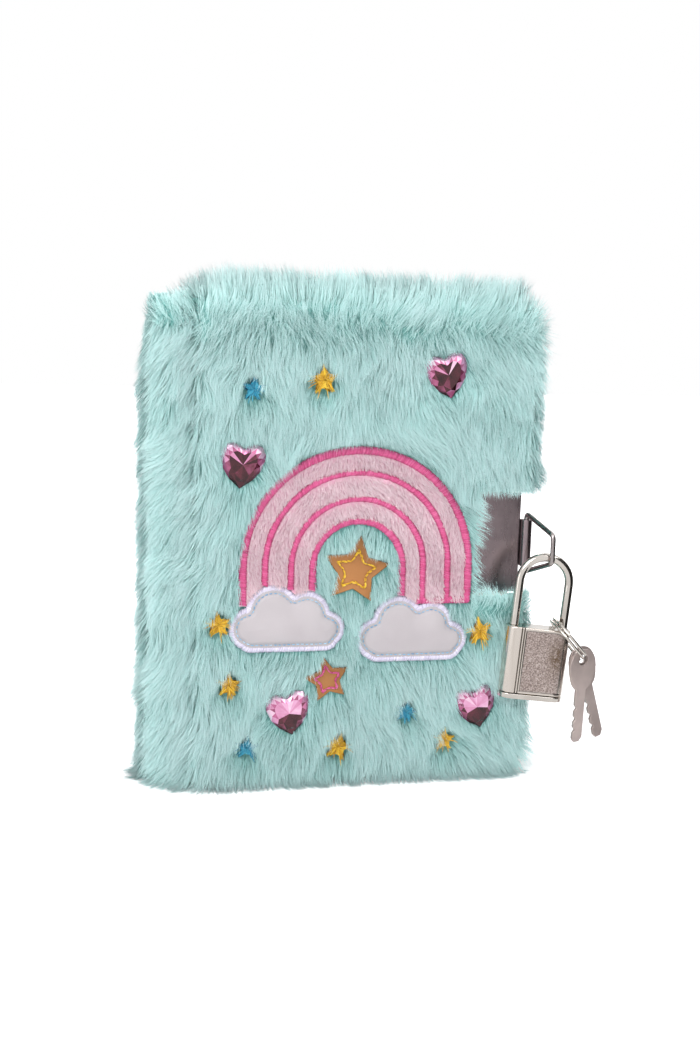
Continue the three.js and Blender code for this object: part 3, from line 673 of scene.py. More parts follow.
def trimmed(flat, flow, length, distance, over):
    """Lengths cut so that no tip lies more than over millimetres inside what distance measures."""
    ahead = unit(flow[:, [0, 2]])
    free = np.ones(len(flat))
    for share in np.linspace(1.0, 0.2, 9):
        inside = distance(flat + ahead * (length * share * FUR_REACH)[:, None]) < -over
        free[inside] = share
    return length * free


def standing(share, seed):
    """1 for strands that stand up and -1 for those that hang, mixed at random so that no line shows."""
    return np.where(np.random.default_rng(seed).random(len(share)) < share, 1.0, -1.0)


def mint_pile(name, roots, normals, flow, length, lie, attach, seed, share, patches_and_painted_shade=None):
    """Long mint pile that lies down on the ground, with painted light: paler by the share of it that
    stands.
    """
    strands(name, roots, normals, flow, length, lie, mint_fur, attach, seed + 10, floor=0.0, patches_and_painted_shade=patches_and_painted_shade,
            light=TOP_PAINTED_LIGHT * share)


def parted(flat, flow):
    """Turns the nap away from each gem and each embroidered star."""
    for spots, reach, push in ((gems, 12, 0.5), (threads_at, 8, 0.6)):
        for spot in spots:
            away = flat - np.array([spot[0], spot[2]])
            distance = np.linalg.norm(away, axis=1)
            strength = push * np.clip(1 - distance / reach, 0, 1)
            flow[:, [0, 2]] += strength[:, None] * away / np.maximum(distance, 0.5)[:, None]


def cover_fur(side, outward, density, seed):
    """The pile of one cover, which hangs, fans out to the sides, and stands up along upper edges."""
    rng = np.random.default_rng(seed + 1)
    points, triangles = mesh_arrays(nodes[f"{side}_plush"])
    roots, normals = sample_surface(points, hull_faces(points, triangles, outward), density, seed)
    flat = roots[:, [0, 2]]
    keep = notch_distance(flat) > -0.2
    if outward < 0:
        keep &= (applique_distance(flat) > -0.3) & (gem_distance(flat) > -0.6) & (thread_distance(flat) > 0)
    roots, normals, flat = roots[keep], normals[keep], flat[keep]
    count = len(roots)
    x, z = flat[:, 0], flat[:, 1]
    near_notch = notch_distance(flat)
    across = (x - (HEM + FORE) / 2) / 60  # about -1 at the hem and 1 at the fore edge
    top_share = np.clip((z - TOP + TOP_ZONE + 2 * waves(roots, 70, 19)) / TOP_BLEND, 0, 1)
    lower_lip = (x > plate_low[0] - 2) & (z < MIDDLE_Z - LIP_BELOW)
    lip_share = np.clip(1.3 - near_notch / 5, 0, 1)
    notch_share = np.where(lower_lip, lip_share, 0)
    fan = 0.30 * across + 0.12 * waves(roots, 71, 40)
    up = standing(np.maximum(top_share, notch_share), seed + 2)
    flow = np.stack([fan, np.zeros(count), up], axis=1)
    left_of_notch = (near_notch < 6) & (np.abs(z - MIDDLE_Z) < BESIDE_NOTCH)
    flow[left_of_notch, 0] += 0.8
    length = np.full(count, FUR_LENGTH)
    lie = FUR_LIE - 0.22 * top_share + 0.14 * notch_share
    # dark patches that vary at random; the painted shade round the patches is added below
    patches_and_painted_shade = np.clip(0.16 * (waves(roots, 77, 24) - 0.5), 0, 1)
    rim = np.abs(normals[:, 1]) < 0.6
    fore_rim = rim & (normals[:, 0] > 0.4)
    hem_corner = (z > TOP - 12) & (x < HEM + 12)
    for where, share in ((rim, 0.85), (fore_rim & (z < MIDDLE_Z), 0.62), (fore_rim & (z > TOP - 45), 0.75),
                         (rim & (normals[:, 2] > 0.5), 1.3), (hem_corner, 0.8)):
        length[where] *= share
    length[lower_lip] *= 1 - 0.35 * lip_share[lower_lip] * rng.random(lower_lip.sum())
    flow[:, 0] += 0.5 * notch_share * waves(roots, 79, 9)
    lie[rim] -= 0.12
    if outward < 0:
        from_gem = np.clip(gem_distance(flat) / 5, 0, 1)
        from_thread = np.clip(thread_distance(flat) / 4, 0, 1)
        from_cover = np.clip(applique_distance(flat) / 4.5, 0, 1)
        length *= (0.55 + 0.45 * from_gem) * (0.45 + 0.55 * from_thread) * (0.5 + 0.5 * from_cover)
        lie += 0.06 * (1 - from_thread) - 0.12 * (1 - from_cover)
        # painted shade: the pile is darker beside the embroidered stars, gems and applique patches
        patches_and_painted_shade += 0.5 * (1 - from_thread) + 0.25 * (1 - from_gem) + 0.25 * (1 - from_cover)
        parted(flat, flow)
        length = trimmed(flat, flow, length, applique_distance, rng.uniform(0, 0.5, count))
        length = trimmed(flat, flow, length, gem_distance, rng.uniform(0, 1, count) ** 2)
        length = trimmed(flat, flow, length, thread_distance, rng.uniform(-0.3, 0.6, count))
    over_notch = np.where(lower_lip, 99, np.where(left_of_notch, 4.0, 2.4) * rng.random(count))
    length = trimmed(flat, flow, length, notch_distance, over_notch)
    mint_pile(f"{side}_fur", roots, normals, flow, np.maximum(length, SHORTEST), lie,
              rides(f"{side}_cover"), seed, top_share, np.clip(patches_and_painted_shade, 0, 1))


def pelt(node, material, body):
    """The backing cloth under the fur: a copy of the soft solid with its own material."""
    mesh = nodes[node].data.copy()
    mesh.materials.clear()
    obj = new_object(f"{node}_backing", mesh, material, body)
    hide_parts(node)
    return obj


def spine_fur(density, seed):
    points, triangles = mesh_arrays(nodes["spine_plush"])
    normal = face_normals(points, triangles)
    triangles = triangles[(normal[:, 0] < -0.05) | (np.abs(normal[:, 2]) > 0.5)]
    roots, normals = sample_surface(points, triangles, density, seed)
    share = np.clip((roots[:, 2] - TOP + 8) / 8, 0, 1)
    flow = np.stack([1.2 * share, 0.15 * waves(roots, 73, 30), standing(share, seed + 2)], axis=1)
    flow[normals[:, 2] > 0.5] = (1.0, 0, 0.6)
    flow[normals[:, 2] < -0.5] = (-1, 0, 0)
    near_top = np.clip((roots[:, 2] - TOP + 22) / 22, 0, 1)
    edge = np.clip((np.abs(roots[:, 1]) - 3.5) / 4, 0, 1)
    length = SPINE_LENGTH * (1 - 0.72 * near_top**1.5) * (1 - 0.35 * edge)
    lie = 0.62 + 0.1 * share + 0.12 * edge
    mint_pile("spine_fur", roots, normals, flow, length, lie, rides("root"), seed, share)


# The hinge cloth's way from spine to cover: millimetres from the spine's back and from the book's middle
HINGE_LINE = [(0.6, 7.4), (1.6, 8.9), (4.0, 10.6), (7.0, 11.8), (9.6, 13.6), (11.6, FACE)]


def hinge_fur(side, outward, density, seed):
    """The cloth that runs from the spine over the hinge groove to the cover, and its fur."""
    contour = np.array(HINGE_LINE) * (1, outward) + (SPINE, 0)
    heights = np.linspace(0.4, TOP - 0.4, 60)
    points = [(x, y, z) for z in heights for x, y in contour]
    faces = grid_faces(len(heights), len(contour))
    mesh = mesh_from(f"{side}_hinge_cloth", points, (faces if outward < 0 else faces[:, ::-1]).tolist())

    def blend(obj):
        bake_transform(obj)

    cloth = new_object(f"{side}_hinge_cloth", mesh, mint_cloth)
    points, triangles = mesh_arrays(cloth)
    roots, normals = sample_surface(points, triangles, density, seed)
    share = np.clip((roots[:, 2] - TOP + 10) / 9, 0, 1)
    by_spine = np.clip(1 - (roots[:, 0] - SPINE - 1) / 7, 0, 1)
    sideways = -0.15 + 0.1 * waves(roots, 75, 30) + 0.9 * share - 0.75 * by_spine * (1 - share)
    flow = np.stack([sideways, np.zeros(len(roots)), standing(share, seed + 2)], axis=1)
    length = (SPINE_LENGTH + 2.5 * share) * (1 - 0.62 * share * by_spine) * (1 - 0.12 * by_spine)
    lie = 0.6 - 0.2 * share + 0.22 * by_spine
    blend(cloth)
    mint_pile(f"{side}_hinge_fur", roots, normals, flow, length, lie, blend, seed, share)


def plush():
    for node, body in (("front_plush", "front_cover"), ("back_plush", "back_cover")):
        pelt(node, mint_cloth, body)
    pelt("spine_plush", mint_cloth, "root")
    cover_fur("front", -1, 7.5, 11)
    cover_fur("back", 1, 5.0, 12)
    spine_fur(6.5, 13)
    hinge_fur("front", -1, 6.5, 14)
    hinge_fur("back", 1, 5.0, 15)


def paint(material, *names):
    for name in names:
        slots = nodes[name].data.materials
        slots.clear()
        slots.append(material)


# Threads, stitches and padded patches


def round_frames(paths):
    """Two directions across each point of paths of shape (N, K, 3)."""
    tangent = unit(np.gradient(paths, axis=1))
    side = unit(np.cross(tangent, np.array([0.0, -1.0, 0.02])))
    return side, np.cross(side, tangent)


THREAD_SIDES = 5


def threads(name, paths, radius, material, attach, seed, taper=0.55, tones=0.22):
    """Round threads along paths of shape (N, K, 3), in one mesh, each with a tone of its own."""
    rng = np.random.default_rng(seed)
    paths = np.asarray(paths, float)
    count, steps = paths.shape[:2]
    side, up = round_frames(paths)
    angle = np.arange(THREAD_SIDES) * 2 * np.pi / THREAD_SIDES
    swell = np.full(steps, 1.0)
    swell[0] = swell[-1] = taper
    thick = radius * rng.uniform(0.85, 1.15, count)[:, None] * swell[None]
    ring = side[:, :, None] * np.cos(angle)[:, None] + up[:, :, None] * np.sin(angle)[:, None]
    points = paths[:, :, None] + ring * thick[:, :, None, None]
    quad = grid_faces(steps, THREAD_SIDES, closed=True)
    first = np.arange(count)[:, None, None] * steps * THREAD_SIDES
    faces = (first + quad[None]).reshape(-1, 4)
    mesh = quad_mesh(name, points.reshape(-1, 3), faces)
    tone = np.clip(rng.normal(0.5, tones, count), 0, 1)
    set_values(mesh, "tone", np.repeat(tone, steps * THREAD_SIDES))
    k, s = np.meshgrid(np.arange(steps - 1), np.arange(THREAD_SIDES), indexing="ij")
    around = np.stack([np.stack(at, -1) for at in ((k, s), (k, s + 1), (k + 1, s + 1), (k + 1, s))], axis=2)
    local = around.reshape(-1, 2) / np.array([steps - 1, THREAD_SIDES])
    corner, cell = cells(count)
    bake_map(mesh, corner[:, None] + (0.06 + 0.88 * local[None]) * cell)
    obj = new_object(name, mesh, material)
    attach(obj)
    return obj


def evenly(path, step, closed):
    """Points every step millimetres along a line of points."""
    path = np.vstack([path, path[:1]]) if closed else np.asarray(path, float)
    length = np.concatenate([[0], np.cumsum(np.linalg.norm(np.diff(path, axis=0), axis=1))])
    count = max(3, round(length[-1] / step))
    spots = np.linspace(0, length[-1], count, endpoint=not closed)
    return np.stack([np.interp(spots, length, path[:, i]) for i in range(path.shape[1])], axis=1)


def travel(path, closed):
    """Unit vectors along a path in the X-Z plane."""
    if closed:
        return unit(np.roll(path, -1, axis=0) - np.roll(path, 1, axis=0))
    return unit(np.gradient(path, axis=0))


STITCH_STEP = 0.2


def satin(name, path, width, back, rise, material, attach, seed, closed=True):
    """A ridge of satin stitches along a path on the face of the cover, raised as if over a low core."""
    rng = np.random.default_rng(seed)
    path = evenly(path, STITCH_STEP, closed)
    ahead = travel(path, closed)
    out = np.stack([-ahead[:, 1], ahead[:, 0]], axis=1)
    u = np.array([-1, -0.86, -0.55, 0, 0.55, 0.86, 1])
    reach = width / 2 * (1 + rng.normal(0, 0.05, (len(path), 2)))
    across = np.where(u < 0, reach[:, :1], reach[:, 1:]) * u
    slant = 0.25 + rng.normal(0, 0.12, len(path))[:, None]
    flat = path[:, None] + out[:, None] * across[..., None] + ahead[:, None] * (slant * u)[..., None]
    lift = rise * np.sqrt(1 - 0.96 * u**2) * (1 + rng.normal(0, 0.05, len(path)))[:, None]
    stitches = np.stack([flat[..., 0], back - lift, flat[..., 1]], axis=2)
    return threads(name, stitches, 0.16, material, attach, seed + 1, tones=0.15)


def dashes(name, path, length, gap, back, material, attach, seed, radius):
    """Running stitches round a closed path: short threads that dive in at both ends."""
    rng = np.random.default_rng(seed)
    path = evenly(path, length + gap, True)
    ahead = unit(np.roll(path, -1, axis=0) - path)
    u = np.linspace(0, 1, 6)
    flat = path[:, None] + ahead[:, None] * (u * length)[None, :, None]
    flat = flat + rng.normal(0, 0.05, (len(path), 1, 2))
    lift = 0.45 * np.sqrt(np.clip(1 - (2 * u - 1) ** 2, 0, 1)) - 0.12
    stitches = np.stack([flat[..., 0], np.broadcast_to(back - lift, flat.shape[:2]), flat[..., 1]], axis=2)
    return threads(name, stitches, radius, material, attach, seed + 1)


def outline_at(distance, centre, inset):
    """The line that lies inset millimetres inside an outline, as points seen from its centre."""
    count = 240
    angle = np.linspace(0, 2 * np.pi, count, endpoint=False)
    ray = np.stack([np.cos(angle), np.sin(angle)], axis=1)
    near, far = np.zeros(count), np.full(count, 60.0)
    for _ in range(26):
        half = (near + far) / 2
        inside = distance(np.array(centre) + ray * half[:, None]) < -inset
        near, far = np.where(inside, half, near), np.where(inside, far, half)
    return np.array(centre) + ray * near[:, None]


PILLOW_STEP = 0.4


def pillow(name, distance, corners, back, height, material):
    """A padded patch on the cover's face: height gives its rise at a distance inside its outline."""
    (x0, z0), (x1, z1) = corners
    step = PILLOW_STEP
    x, z = np.arange(x0 - step, x1 + step, step), np.arange(z0 - step, z1 + step, step)
    flat = np.stack(np.meshgrid(x, z), axis=-1).reshape(-1, 2)
    apart = distance(flat)
    nudges = 0.02 * np.eye(2)
    slope = np.stack([distance(flat + nudge) - distance(flat - nudge) for nudge in nudges], axis=1)
    near = 0.7 * step
    close = np.abs(apart) < near
    flat[close] -= unit(slope[close]) * apart[close, None]
    depth = np.where(close, 0, np.maximum(-apart, 0))
    points = np.stack([flat[:, 0], back - height(depth, flat), flat[:, 1]], axis=1)
    faces = grid_faces(len(z), len(x))
    faces = faces[(apart < near)[faces].all(axis=1)]
    used, place = np.unique(faces, return_inverse=True)
    return new_object(name, quad_mesh(name, points[used], place.reshape(-1, 4)), material)


def thread_material(name, dark, middle_tone, light):
    """Shiny embroidery thread: each stitch has a tone of its own, with fine twisted fibres."""
    m = Nodes(name)
    tone = m.attribute("tone")
    fibres = m.noise(2600, 2.0)
    mixed = m.math("ADD", m.math("MULTIPLY", tone, 0.75), m.math("MULTIPLY", fibres, 0.25))
    m.colour(m.ramp(mixed, (0.15, dark), (0.5, middle_tone), (0.85, light)))
    m.set(Roughness=0.42, Specular_IOR_Level=0.45, Sheen_Weight=0.2)
    m.bump(fibres, 0.00005)
    return m.material


def leatherette_material(name, dark, light, roughness=0.42):
    m = Nodes(name)
    grain = m.noise(1500, 3.0)
    broad = m.noise(60, 2.0)
    m.colour(m.mix(m.gate(broad, 0.3, 0.75), dark, light))
    m.roughness(m.add_range(grain, (roughness - 0.06, roughness + 0.1)))
    m.set(Specular_IOR_Level=0.35)
    m.bump(grain, 0.00003)
    return m.material


hot_pink = thread_material("hot_pink_thread", srgb(164, 44, 94), srgb(206, 80, 134), srgb(226, 122, 168))
lilac = thread_material("lilac_thread", srgb(176, 168, 196), srgb(214, 208, 226), srgb(238, 234, 244))
gold_thread = thread_material("gold_thread", srgb(176, 124, 14), srgb(222, 172, 26), srgb(250, 214, 70))
blue_thread = thread_material("blue_thread", srgb(14, 104, 136), srgb(34, 146, 178), srgb(90, 186, 208))
sky_thread = thread_material("sky_thread", srgb(80, 150, 196), srgb(126, 188, 222), srgb(184, 220, 240))
white_hide = leatherette_material("white_leatherette", srgb(176, 169, 172), srgb(188, 182, 184), 0.5)
tan_hide = leatherette_material("tan_leatherette", srgb(154, 102, 56), srgb(178, 122, 72))

BAND_FACE = -FACE - 1.3  # front of the bands of the arch and of the leatherette stars
SATIN_WIDTH, SATIN_RISE = 2.5, 0.7


def arch_line(radius):
    """The line of an arch from its left foot over the top to its right foot."""
    foot = ARCH_Z - ARCH_LEG + 0.6
    angle = np.linspace(np.pi, 0, 80)
    curve = np.stack([ARCH_X + radius * np.cos(angle), ARCH_Z + radius * np.sin(angle)], axis=1)
    return np.vstack([[(ARCH_X - radius, foot)], curve, [(ARCH_X + radius, foot)]])


def split_free(path, blocked):
    """The stretches of a path that lie outside what covers it."""
    path = evenly(path, 0.25, False)
    free = ~blocked(path)
    cuts = np.flatnonzero(np.diff(free.astype(int))) + 1
    pieces = zip(np.split(path, cuts), free[np.r_[0, cuts]])
    return [piece for piece, is_free in pieces if is_free and len(piece) > 12]


def under_patches(p):
    """Whether points on the arch lie under a cloud or in the clasp notch."""
    clouds_here = np.min([cloud_distance(p, c) for c in clouds], axis=0) < 0.8
    return clouds_here | (notch_distance(p) < 1.4)


def short_pile(seams, density, seed):
    """The short pile of the bands, which lies lower beside the seams."""
    rng = np.random.default_rng(seed)
    size = 2 * (ARCH_R + 1)
    low = np.array([ARCH_X - ARCH_R - 1, ARCH_Z - ARCH_LEG])
    high = size / 2 + ARCH_LEG
    spots = low + rng.random((int(size * high * density), 2)) * (size, high)
    x, z = spots[:, 0] - ARCH_X, spots[:, 1] - ARCH_Z
    radius = np.where(z > 0, np.hypot(x, z), np.abs(x))
    from_seam = np.min([np.abs(radius - s) for s in seams], axis=0)
    keep = (arch_distance(spots, ARCH_R, INNER_BAND_R) < -1.0) & ~under_patches(spots) & (from_seam > 1.15)
    spots, from_seam = spots[keep], from_seam[keep]
    roots = np.stack([spots[:, 0], np.full(len(spots), BAND_FACE), spots[:, 1]], axis=1)
    normals = np.tile((0.0, -1.0, 0.0), (len(roots), 1))
    flow = np.stack([0.25 * waves(roots, 43, 14), np.zeros(len(roots)), -np.ones(len(roots))], axis=1)
    length = 1.5 + 1.1 * np.clip((from_seam - 1.1) / 2, 0, 1)
    strands("applique_pile", roots, normals, flow, length, np.full(len(roots), 0.62), pink_fur,
            on_front(), 44, gather=0.35, tone_scale=8.0)


def bands():
    """Three bands of pale short pile, edged and joined by satin stitches."""
    paint(pink_cloth, "applique_outer_band", "applique_middle_band", "applique_inner_band")
    attach = on_front()
    seams = [ARCH_R - 1.0, ARCH_R - BAND_STEP + 0.3, ARCH_R - 2 * BAND_STEP + 0.3, INNER_BAND_R + 1.0]
    short_pile(seams, 15.0, 41)
    for i, radius in enumerate(seams):
        width = SATIN_WIDTH if i in (0, 3) else SATIN_WIDTH - 0.5
        for k, piece in enumerate(split_free(arch_line(radius), under_patches)):
            satin(f"applique_satin_{i + 1}_{k + 1}", piece, width, BAND_FACE + 0.15, SATIN_RISE, hot_pink,
                  attach, 50 + 3 * i + k, closed=False)
    foot = ARCH_Z - ARCH_LEG + 0.9
    for k, side in enumerate((-1, 1)):
        line = [(ARCH_X + side * reach, foot) for reach in (INNER_BAND_R + 0.4, ARCH_R - 0.4)]
        for n, piece in enumerate(split_free(line, under_patches)):
            satin(f"applique_foot_{k + 1}_{n + 1}", piece, 2.2, BAND_FACE + 0.1, SATIN_RISE, hot_pink,
                  attach, 64 + 3 * k + n, closed=False)


def cloud_patch(side, centre):
    """A padded cloud of white leatherette with a lilac satin edge and a row of small dashes inside it."""
    node = f"applique_cloud_{side}"
    low, high = box_in_mm(node)
    rim = outline_at(lambda p: cloud_distance(p, centre), centre, 0)

    def distance(p):
        return polygon_distance(p, rim)

    def height(depth, flat):
        dome = 1.1 + 1.5 * (1 - np.exp(-depth / 2.6)) - 0.35 * np.exp(-(((depth - 2.0) / 0.5) ** 2))
        ripple = 0.12 * waves(np.insert(flat, 1, 0, axis=1), 60 + int(centre[0]), 9)
        ripple = ripple * np.clip(depth / 4, 0, 1)
        return np.where(depth > 0, dome + ripple, 0)

    obj = pillow(f"{node}_pad", distance, (low[[0, 2]], high[[0, 2]]), -FACE, height, white_hide)
    attach = on_front()
    attach(obj)
    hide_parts(node)
    seed = 70 if side == "left" else 80
    satin(f"{node}_edge", outline_at(distance, centre, 0.6), 1.9, -FACE - 0.9, 0.7, lilac, attach, seed)
    dashes(f"{node}_stitches", outline_at(distance, centre, 2.0), 0.9, 0.5, -FACE - 1.62, sky_thread,
           attach, seed + 5, 0.13)


def star_patch(node, centre, radius, turn, thread, seed):
    """A cut leatherette star with a smaller star of stitches on it."""
    attach = on_front()
    softened(node, 0.28, tan_hide, attach)
    inner = star_outline(*centre, radius * 0.62, 0.5, turn)
    for row, (scale, shift) in enumerate(((1.0, 0), (0.93, 2))):
        path = np.array(centre) + (inner - np.array(centre)) * scale
        path = np.roll(evenly(path, 0.35, True), shift, axis=0)
        dashes(f"{node}_stitches_{row + 1}", path, 1.25, 0.3, BAND_FACE, thread, attach, seed + row, 0.24)


THREAD_ROWS, FRAYED_ENDS = 22, 16  # of each arm, and of each star


def thread_star(i, place, radius, thread):
    """A small star of loose satin bundles, half sunk in the fur, with a few frayed ends."""
    rng = np.random.default_rng(90 + i)
    turn = rng.uniform(-16, 16)
    corners = star_outline(place[0], place[2], radius * 1.05, 0.46, turn)
    centre = np.array([place[0], place[2]])
    back = -FACE - 0.5
    paths = []
    for arm in range(0, 10, 2):
        tip, left, right = corners[arm], corners[arm - 1], corners[(arm + 1) % 10]
        for row in range(THREAD_ROWS):
            t = (row + 0.5) / THREAD_ROWS
            start = left + (right - left) * t + rng.normal(0, 0.12, 2)
            lean = abs(2 * t - 1)
            end = centre + (tip - centre) * (1 - 0.35 * lean) + rng.normal(0, 0.22, 2)
            begin = centre * 0.75 + start * 0.25 + rng.normal(0, 0.2, 2)
            mid = (start + end) / 2
            bend = np.array([begin, start, mid, end * 0.8 + mid * 0.2, end])
            lift = np.array([1.9, 2.1, 1.9, 1.5, 0.8]) + rng.uniform(0, 0.6)
            paths.append(np.insert(bend, 1, back - lift, axis=1))
    reach = np.linspace(0, 1, 5)[:, None]
    for _ in range(FRAYED_ENDS):
        away = unit(rng.normal(size=2))
        start = centre + away * rng.uniform(0, radius * 0.5)
        bend = start + away * reach * radius * rng.uniform(0.35, 0.8) + np.array([0, -0.7]) * reach**2
        lift = 2.2 + 1.5 * reach[:, 0] * rng.uniform(0.3, 1.0)
        paths.append(np.insert(bend, 1, back - lift, axis=1))
    node = f"embroidered_star_{i + 1}"
    paint(thread, node)
    threads(f"{node}_threads", np.array(paths), 0.13, thread, on_front(), 100 + i, taper=0.4)


# Gems


GIRDLE, TABLE = 0.9, 2.0  # heights over a gem's foot


def heart_gem(i, place, turn, bright):
    """A faceted heart: an upright girdle, two rows of sloping facets and a table.

    Facet tones are painted light: facets higher up are paler, some get painted glints, and bright gems have
    the upper half of their table painted pale as a highlight, the others only two facets of it.
    """
    rng = np.random.default_rng(30 + i)
    outer = heart_corners(GEM_WIDTH)
    count = len(outer)
    heart = np.array([0.0, -0.4])  # where the table's facets meet
    between = (outer + np.roll(outer, -1, axis=0)) / 2
    rings = [
        (outer, 0.0), (outer, GIRDLE), (heart + (between - heart) * 0.86, GIRDLE + 0.72),
        (heart + (outer - heart) * 0.62, TABLE + 0.15), ([heart], TABLE + 0.3),
    ]
    points = np.array([(x, -rise, z) for flat, rise in rings for x, z in flat])
    foot, girdle, crown, table, tip = (count * row for row in range(5))
    faces, tones = [], []

    def facet(tone, *corners):
        faces.append(corners)
        tones.append(tone)

    # painted light: facets higher up get paler tones, and about one in eight gets a painted glint
    def painted_light_at(z):
        return np.clip(0.5 + 0.075 * z + rng.uniform(-0.16, 0.16) + 0.5 * (rng.random() < 0.12), 0, 1)

    for k in range(count):
        n = (k + 1) % count
        facet(0.45, foot + k, foot + n, girdle + n, girdle + k)
        facet(painted_light_at(between[k][1]), girdle + k, girdle + n, crown + k)
        facet(painted_light_at(outer[n][1]) * 0.8 + 0.12, crown + k, girdle + n, crown + n, table + n)
        facet(np.clip(painted_light_at(between[k][1]) * 0.55, 0, 1), crown + k, table + n, table + k)
        # painted highlight: on bright gems the upper half of the table, on the others two facets
        painted_glint = between[k][1] > -1.5 if bright else k in (2, count - 4)
        facet(0.03 + 0.3 * rng.random() ** 2 + (0.62 if painted_glint else 0), table + k, table + n, tip)
    points[:, 1] -= FACE + 0.3
    points[:, [0, 2]] = placed(points[:, [0, 2]], place, turn)
    mesh = mesh_from(f"gem_{i + 1}_cut", points, faces, smooth=False)
    set_values(mesh, "tone", tones, "FACE")
    node = f"gem_heart_{i + 1}"
    obj = new_object(f"{node}_cut", mesh, gem_pink, "front_cover")
    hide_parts(node)


def gem_material():
    """Foil-backed plastic: dark wine in the middle facets, and pale pink painted as highlights on the
    facets whose tone is high, with a fine noise of painted sparkle.
    """
    m = Nodes("foil_gem")
    tone = m.attribute("tone")
    # painted sparkle: a fine noise that lightens and darkens the facets
    painted_sparkle = m.noise(420, 2.0)
    mixed = m.math("ADD", tone, m.math("MULTIPLY", m.math("SUBTRACT", painted_sparkle, 0.5), 0.34))
    wine, rose = srgb(44, 12, 18), srgb(196, 104, 148)
    m.colour(m.ramp(mixed, (0.0, wine), (0.24, srgb(92, 34, 48)), (0.52, rose), (0.8, srgb(234, 172, 208)),
                    (1.0, srgb(252, 222, 238))))
    m.set(Metallic=0.55, Roughness=0.12, Coat_Weight=0.6, Coat_Roughness=0.03)
    return m.material


gem_pink = gem_material()

# Clasp, padlock and keys


def softened(node, width, material, attach):
    """A copy of a solid with its sharp edges rounded and its curved faces shaded smooth."""
    sharp = math.radians(32)
    mesh = nodes[node].data.copy()
    mesh.materials.clear()
    shape = bmesh.new()
    shape.from_mesh(mesh)
    bmesh.ops.remove_doubles(shape, verts=shape.verts, dist=2e-6)
    bmesh.ops.dissolve_limit(shape, angle_limit=math.radians(0.6), verts=shape.verts, edges=shape.edges,
                             use_dissolve_boundaries=False)
    if width > 0:
        between_two = (edge for edge in shape.edges if len(edge.link_faces) == 2)
        edges = [edge for edge in between_two if edge.calc_face_angle(0) > sharp]
        bmesh.ops.bevel(shape, geom=edges, offset=width * MM, segments=2, profile=0.5, affect="EDGES",
                        clamp_overlap=True, miter_outer="ARC")
    for face in shape.faces:
        face.smooth = True
    shape.to_mesh(mesh)
    shape.free()
    mesh.set_sharp_from_angle(angle=math.radians(50))
    obj = new_object(f"{node}_finished", mesh, material)
    obj.modifiers.new("even_shading", "WEIGHTED_NORMAL").keep_sharp = True
    attach(obj)
    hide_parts(node)
    return obj


def rounded_path(corners, radius):
    """A line through corners with each inner corner rounded."""
    corners = np.asarray(corners, float)
    path = [corners[0]]
    for before, corner, after in zip(corners, corners[1:], corners[2:]):
        a = corner + unit(before - corner) * radius
        b = corner + unit(after - corner) * radius
        t = np.linspace(0, 1, 8)[:, None]
        path += list((1 - t) ** 2 * a + 2 * t * (1 - t) * corner + t**2 * b)
    return np.array([*path, corners[-1]])


DOME = ((0.2, 0.85), (0.35, 0.45))  # of a wire's rounded end: how far out each ring is, and how wide


def wire(name, path, radius, material, sides=20):
    """A round wire along a line of points, closed at both ends with small domes."""
    path = np.asarray(path, float)
    tangent = unit(np.gradient(path, axis=0))
    side = unit(np.cross(tangent[0], (0.3, 0.2, 0.93)))
    angle = np.arange(sides)[:, None] * 2 * np.pi / sides
    rings = []
    for ahead in tangent:
        side = unit(side - ahead * (side @ ahead))
        rings.append(radius * (side * np.cos(angle) + np.cross(ahead, side) * np.sin(angle)))
    first, last = [
        [spot + out * radius * far + ring * wide for far, wide in DOME]
        for spot, out, ring in ((path[0], -tangent[0], rings[0]), (path[-1], tangent[-1], rings[-1]))
    ]
    loops = [*first[::-1], *(spot + ring for spot, ring in zip(path, rings)), *last]
    faces = grid_faces(len(loops), sides, closed=True).tolist()
    end = (len(loops) - 1) * sides
    faces += [tuple(range(sides))[::-1], tuple(range(end, end + sides))]
    return new_object(name, mesh_from(name, np.vstack(loops), faces), material)


KNUCKLE_X, KNUCKLE_Y = 116.2, 10.8
BAIL_LENGTH, BAIL_HALF, BAIL_TIP, BAIL_WIRE = 15.0, 9.4, 4.35, 0.8
FRONT_SWING, BACK_SWING = 77.0, 95.0


def bail(side, outward, swing):
    """The wire bail of one cover, bent from one piece whose ends meet inside the knuckle."""
    half = [(0, 0.25), (0, BAIL_HALF), (BAIL_LENGTH, BAIL_TIP)]
    corners = half + [(reach, -up) for reach, up in reversed(half)]
    c, s = math.cos(math.radians(swing)), math.sin(math.radians(swing)) * outward
    x, y = KNUCKLE_X, outward * KNUCKLE_Y
    path = [(x + reach * c, y + reach * s, MIDDLE_Z + up) for reach, up in corners]
    obj = wire(f"{side}_bail_wire", rounded_path(path, 1.5), BAIL_WIRE, polished_steel)
    rides(f"bail_of_{side}")(obj)
    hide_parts(f"{side}_bail")


LOCK_TOP = np.array([117.254, -22.390, 48.832])  # middle of the top face of the padlock
LOCK_YAW, LOCK_TILT = math.radians(-10), math.radians(5)  # as it hangs in the frame at rest
LOCK_Y = np.array([-math.sin(LOCK_YAW), math.cos(LOCK_YAW), 0])
LOCK_Z = np.array([
    math.sin(LOCK_TILT) * math.cos(LOCK_YAW), math.sin(LOCK_TILT) * math.sin(LOCK_YAW), math.cos(LOCK_TILT)
])
LOCK_X = np.cross(LOCK_Y, LOCK_Z)
LOCK_WIDTH, LOCK_DEPTH, LOCK_FOOT = 20.5, 7.5, -21.2
LOCK_EDGE = 0.45  # radius of its upper and lower edges
LEG, LEG_HOLE, LEG_HOLE_DEPTH = 7.8, 1.72, 7.0  # of the shackle: places, and the holes for them
PLUG_BORE, PLUG_DEPTH, BORE_SIDES = 2.8, 9.0, 28
GROOVES = (-5.55, -4.75)  # beside the left column
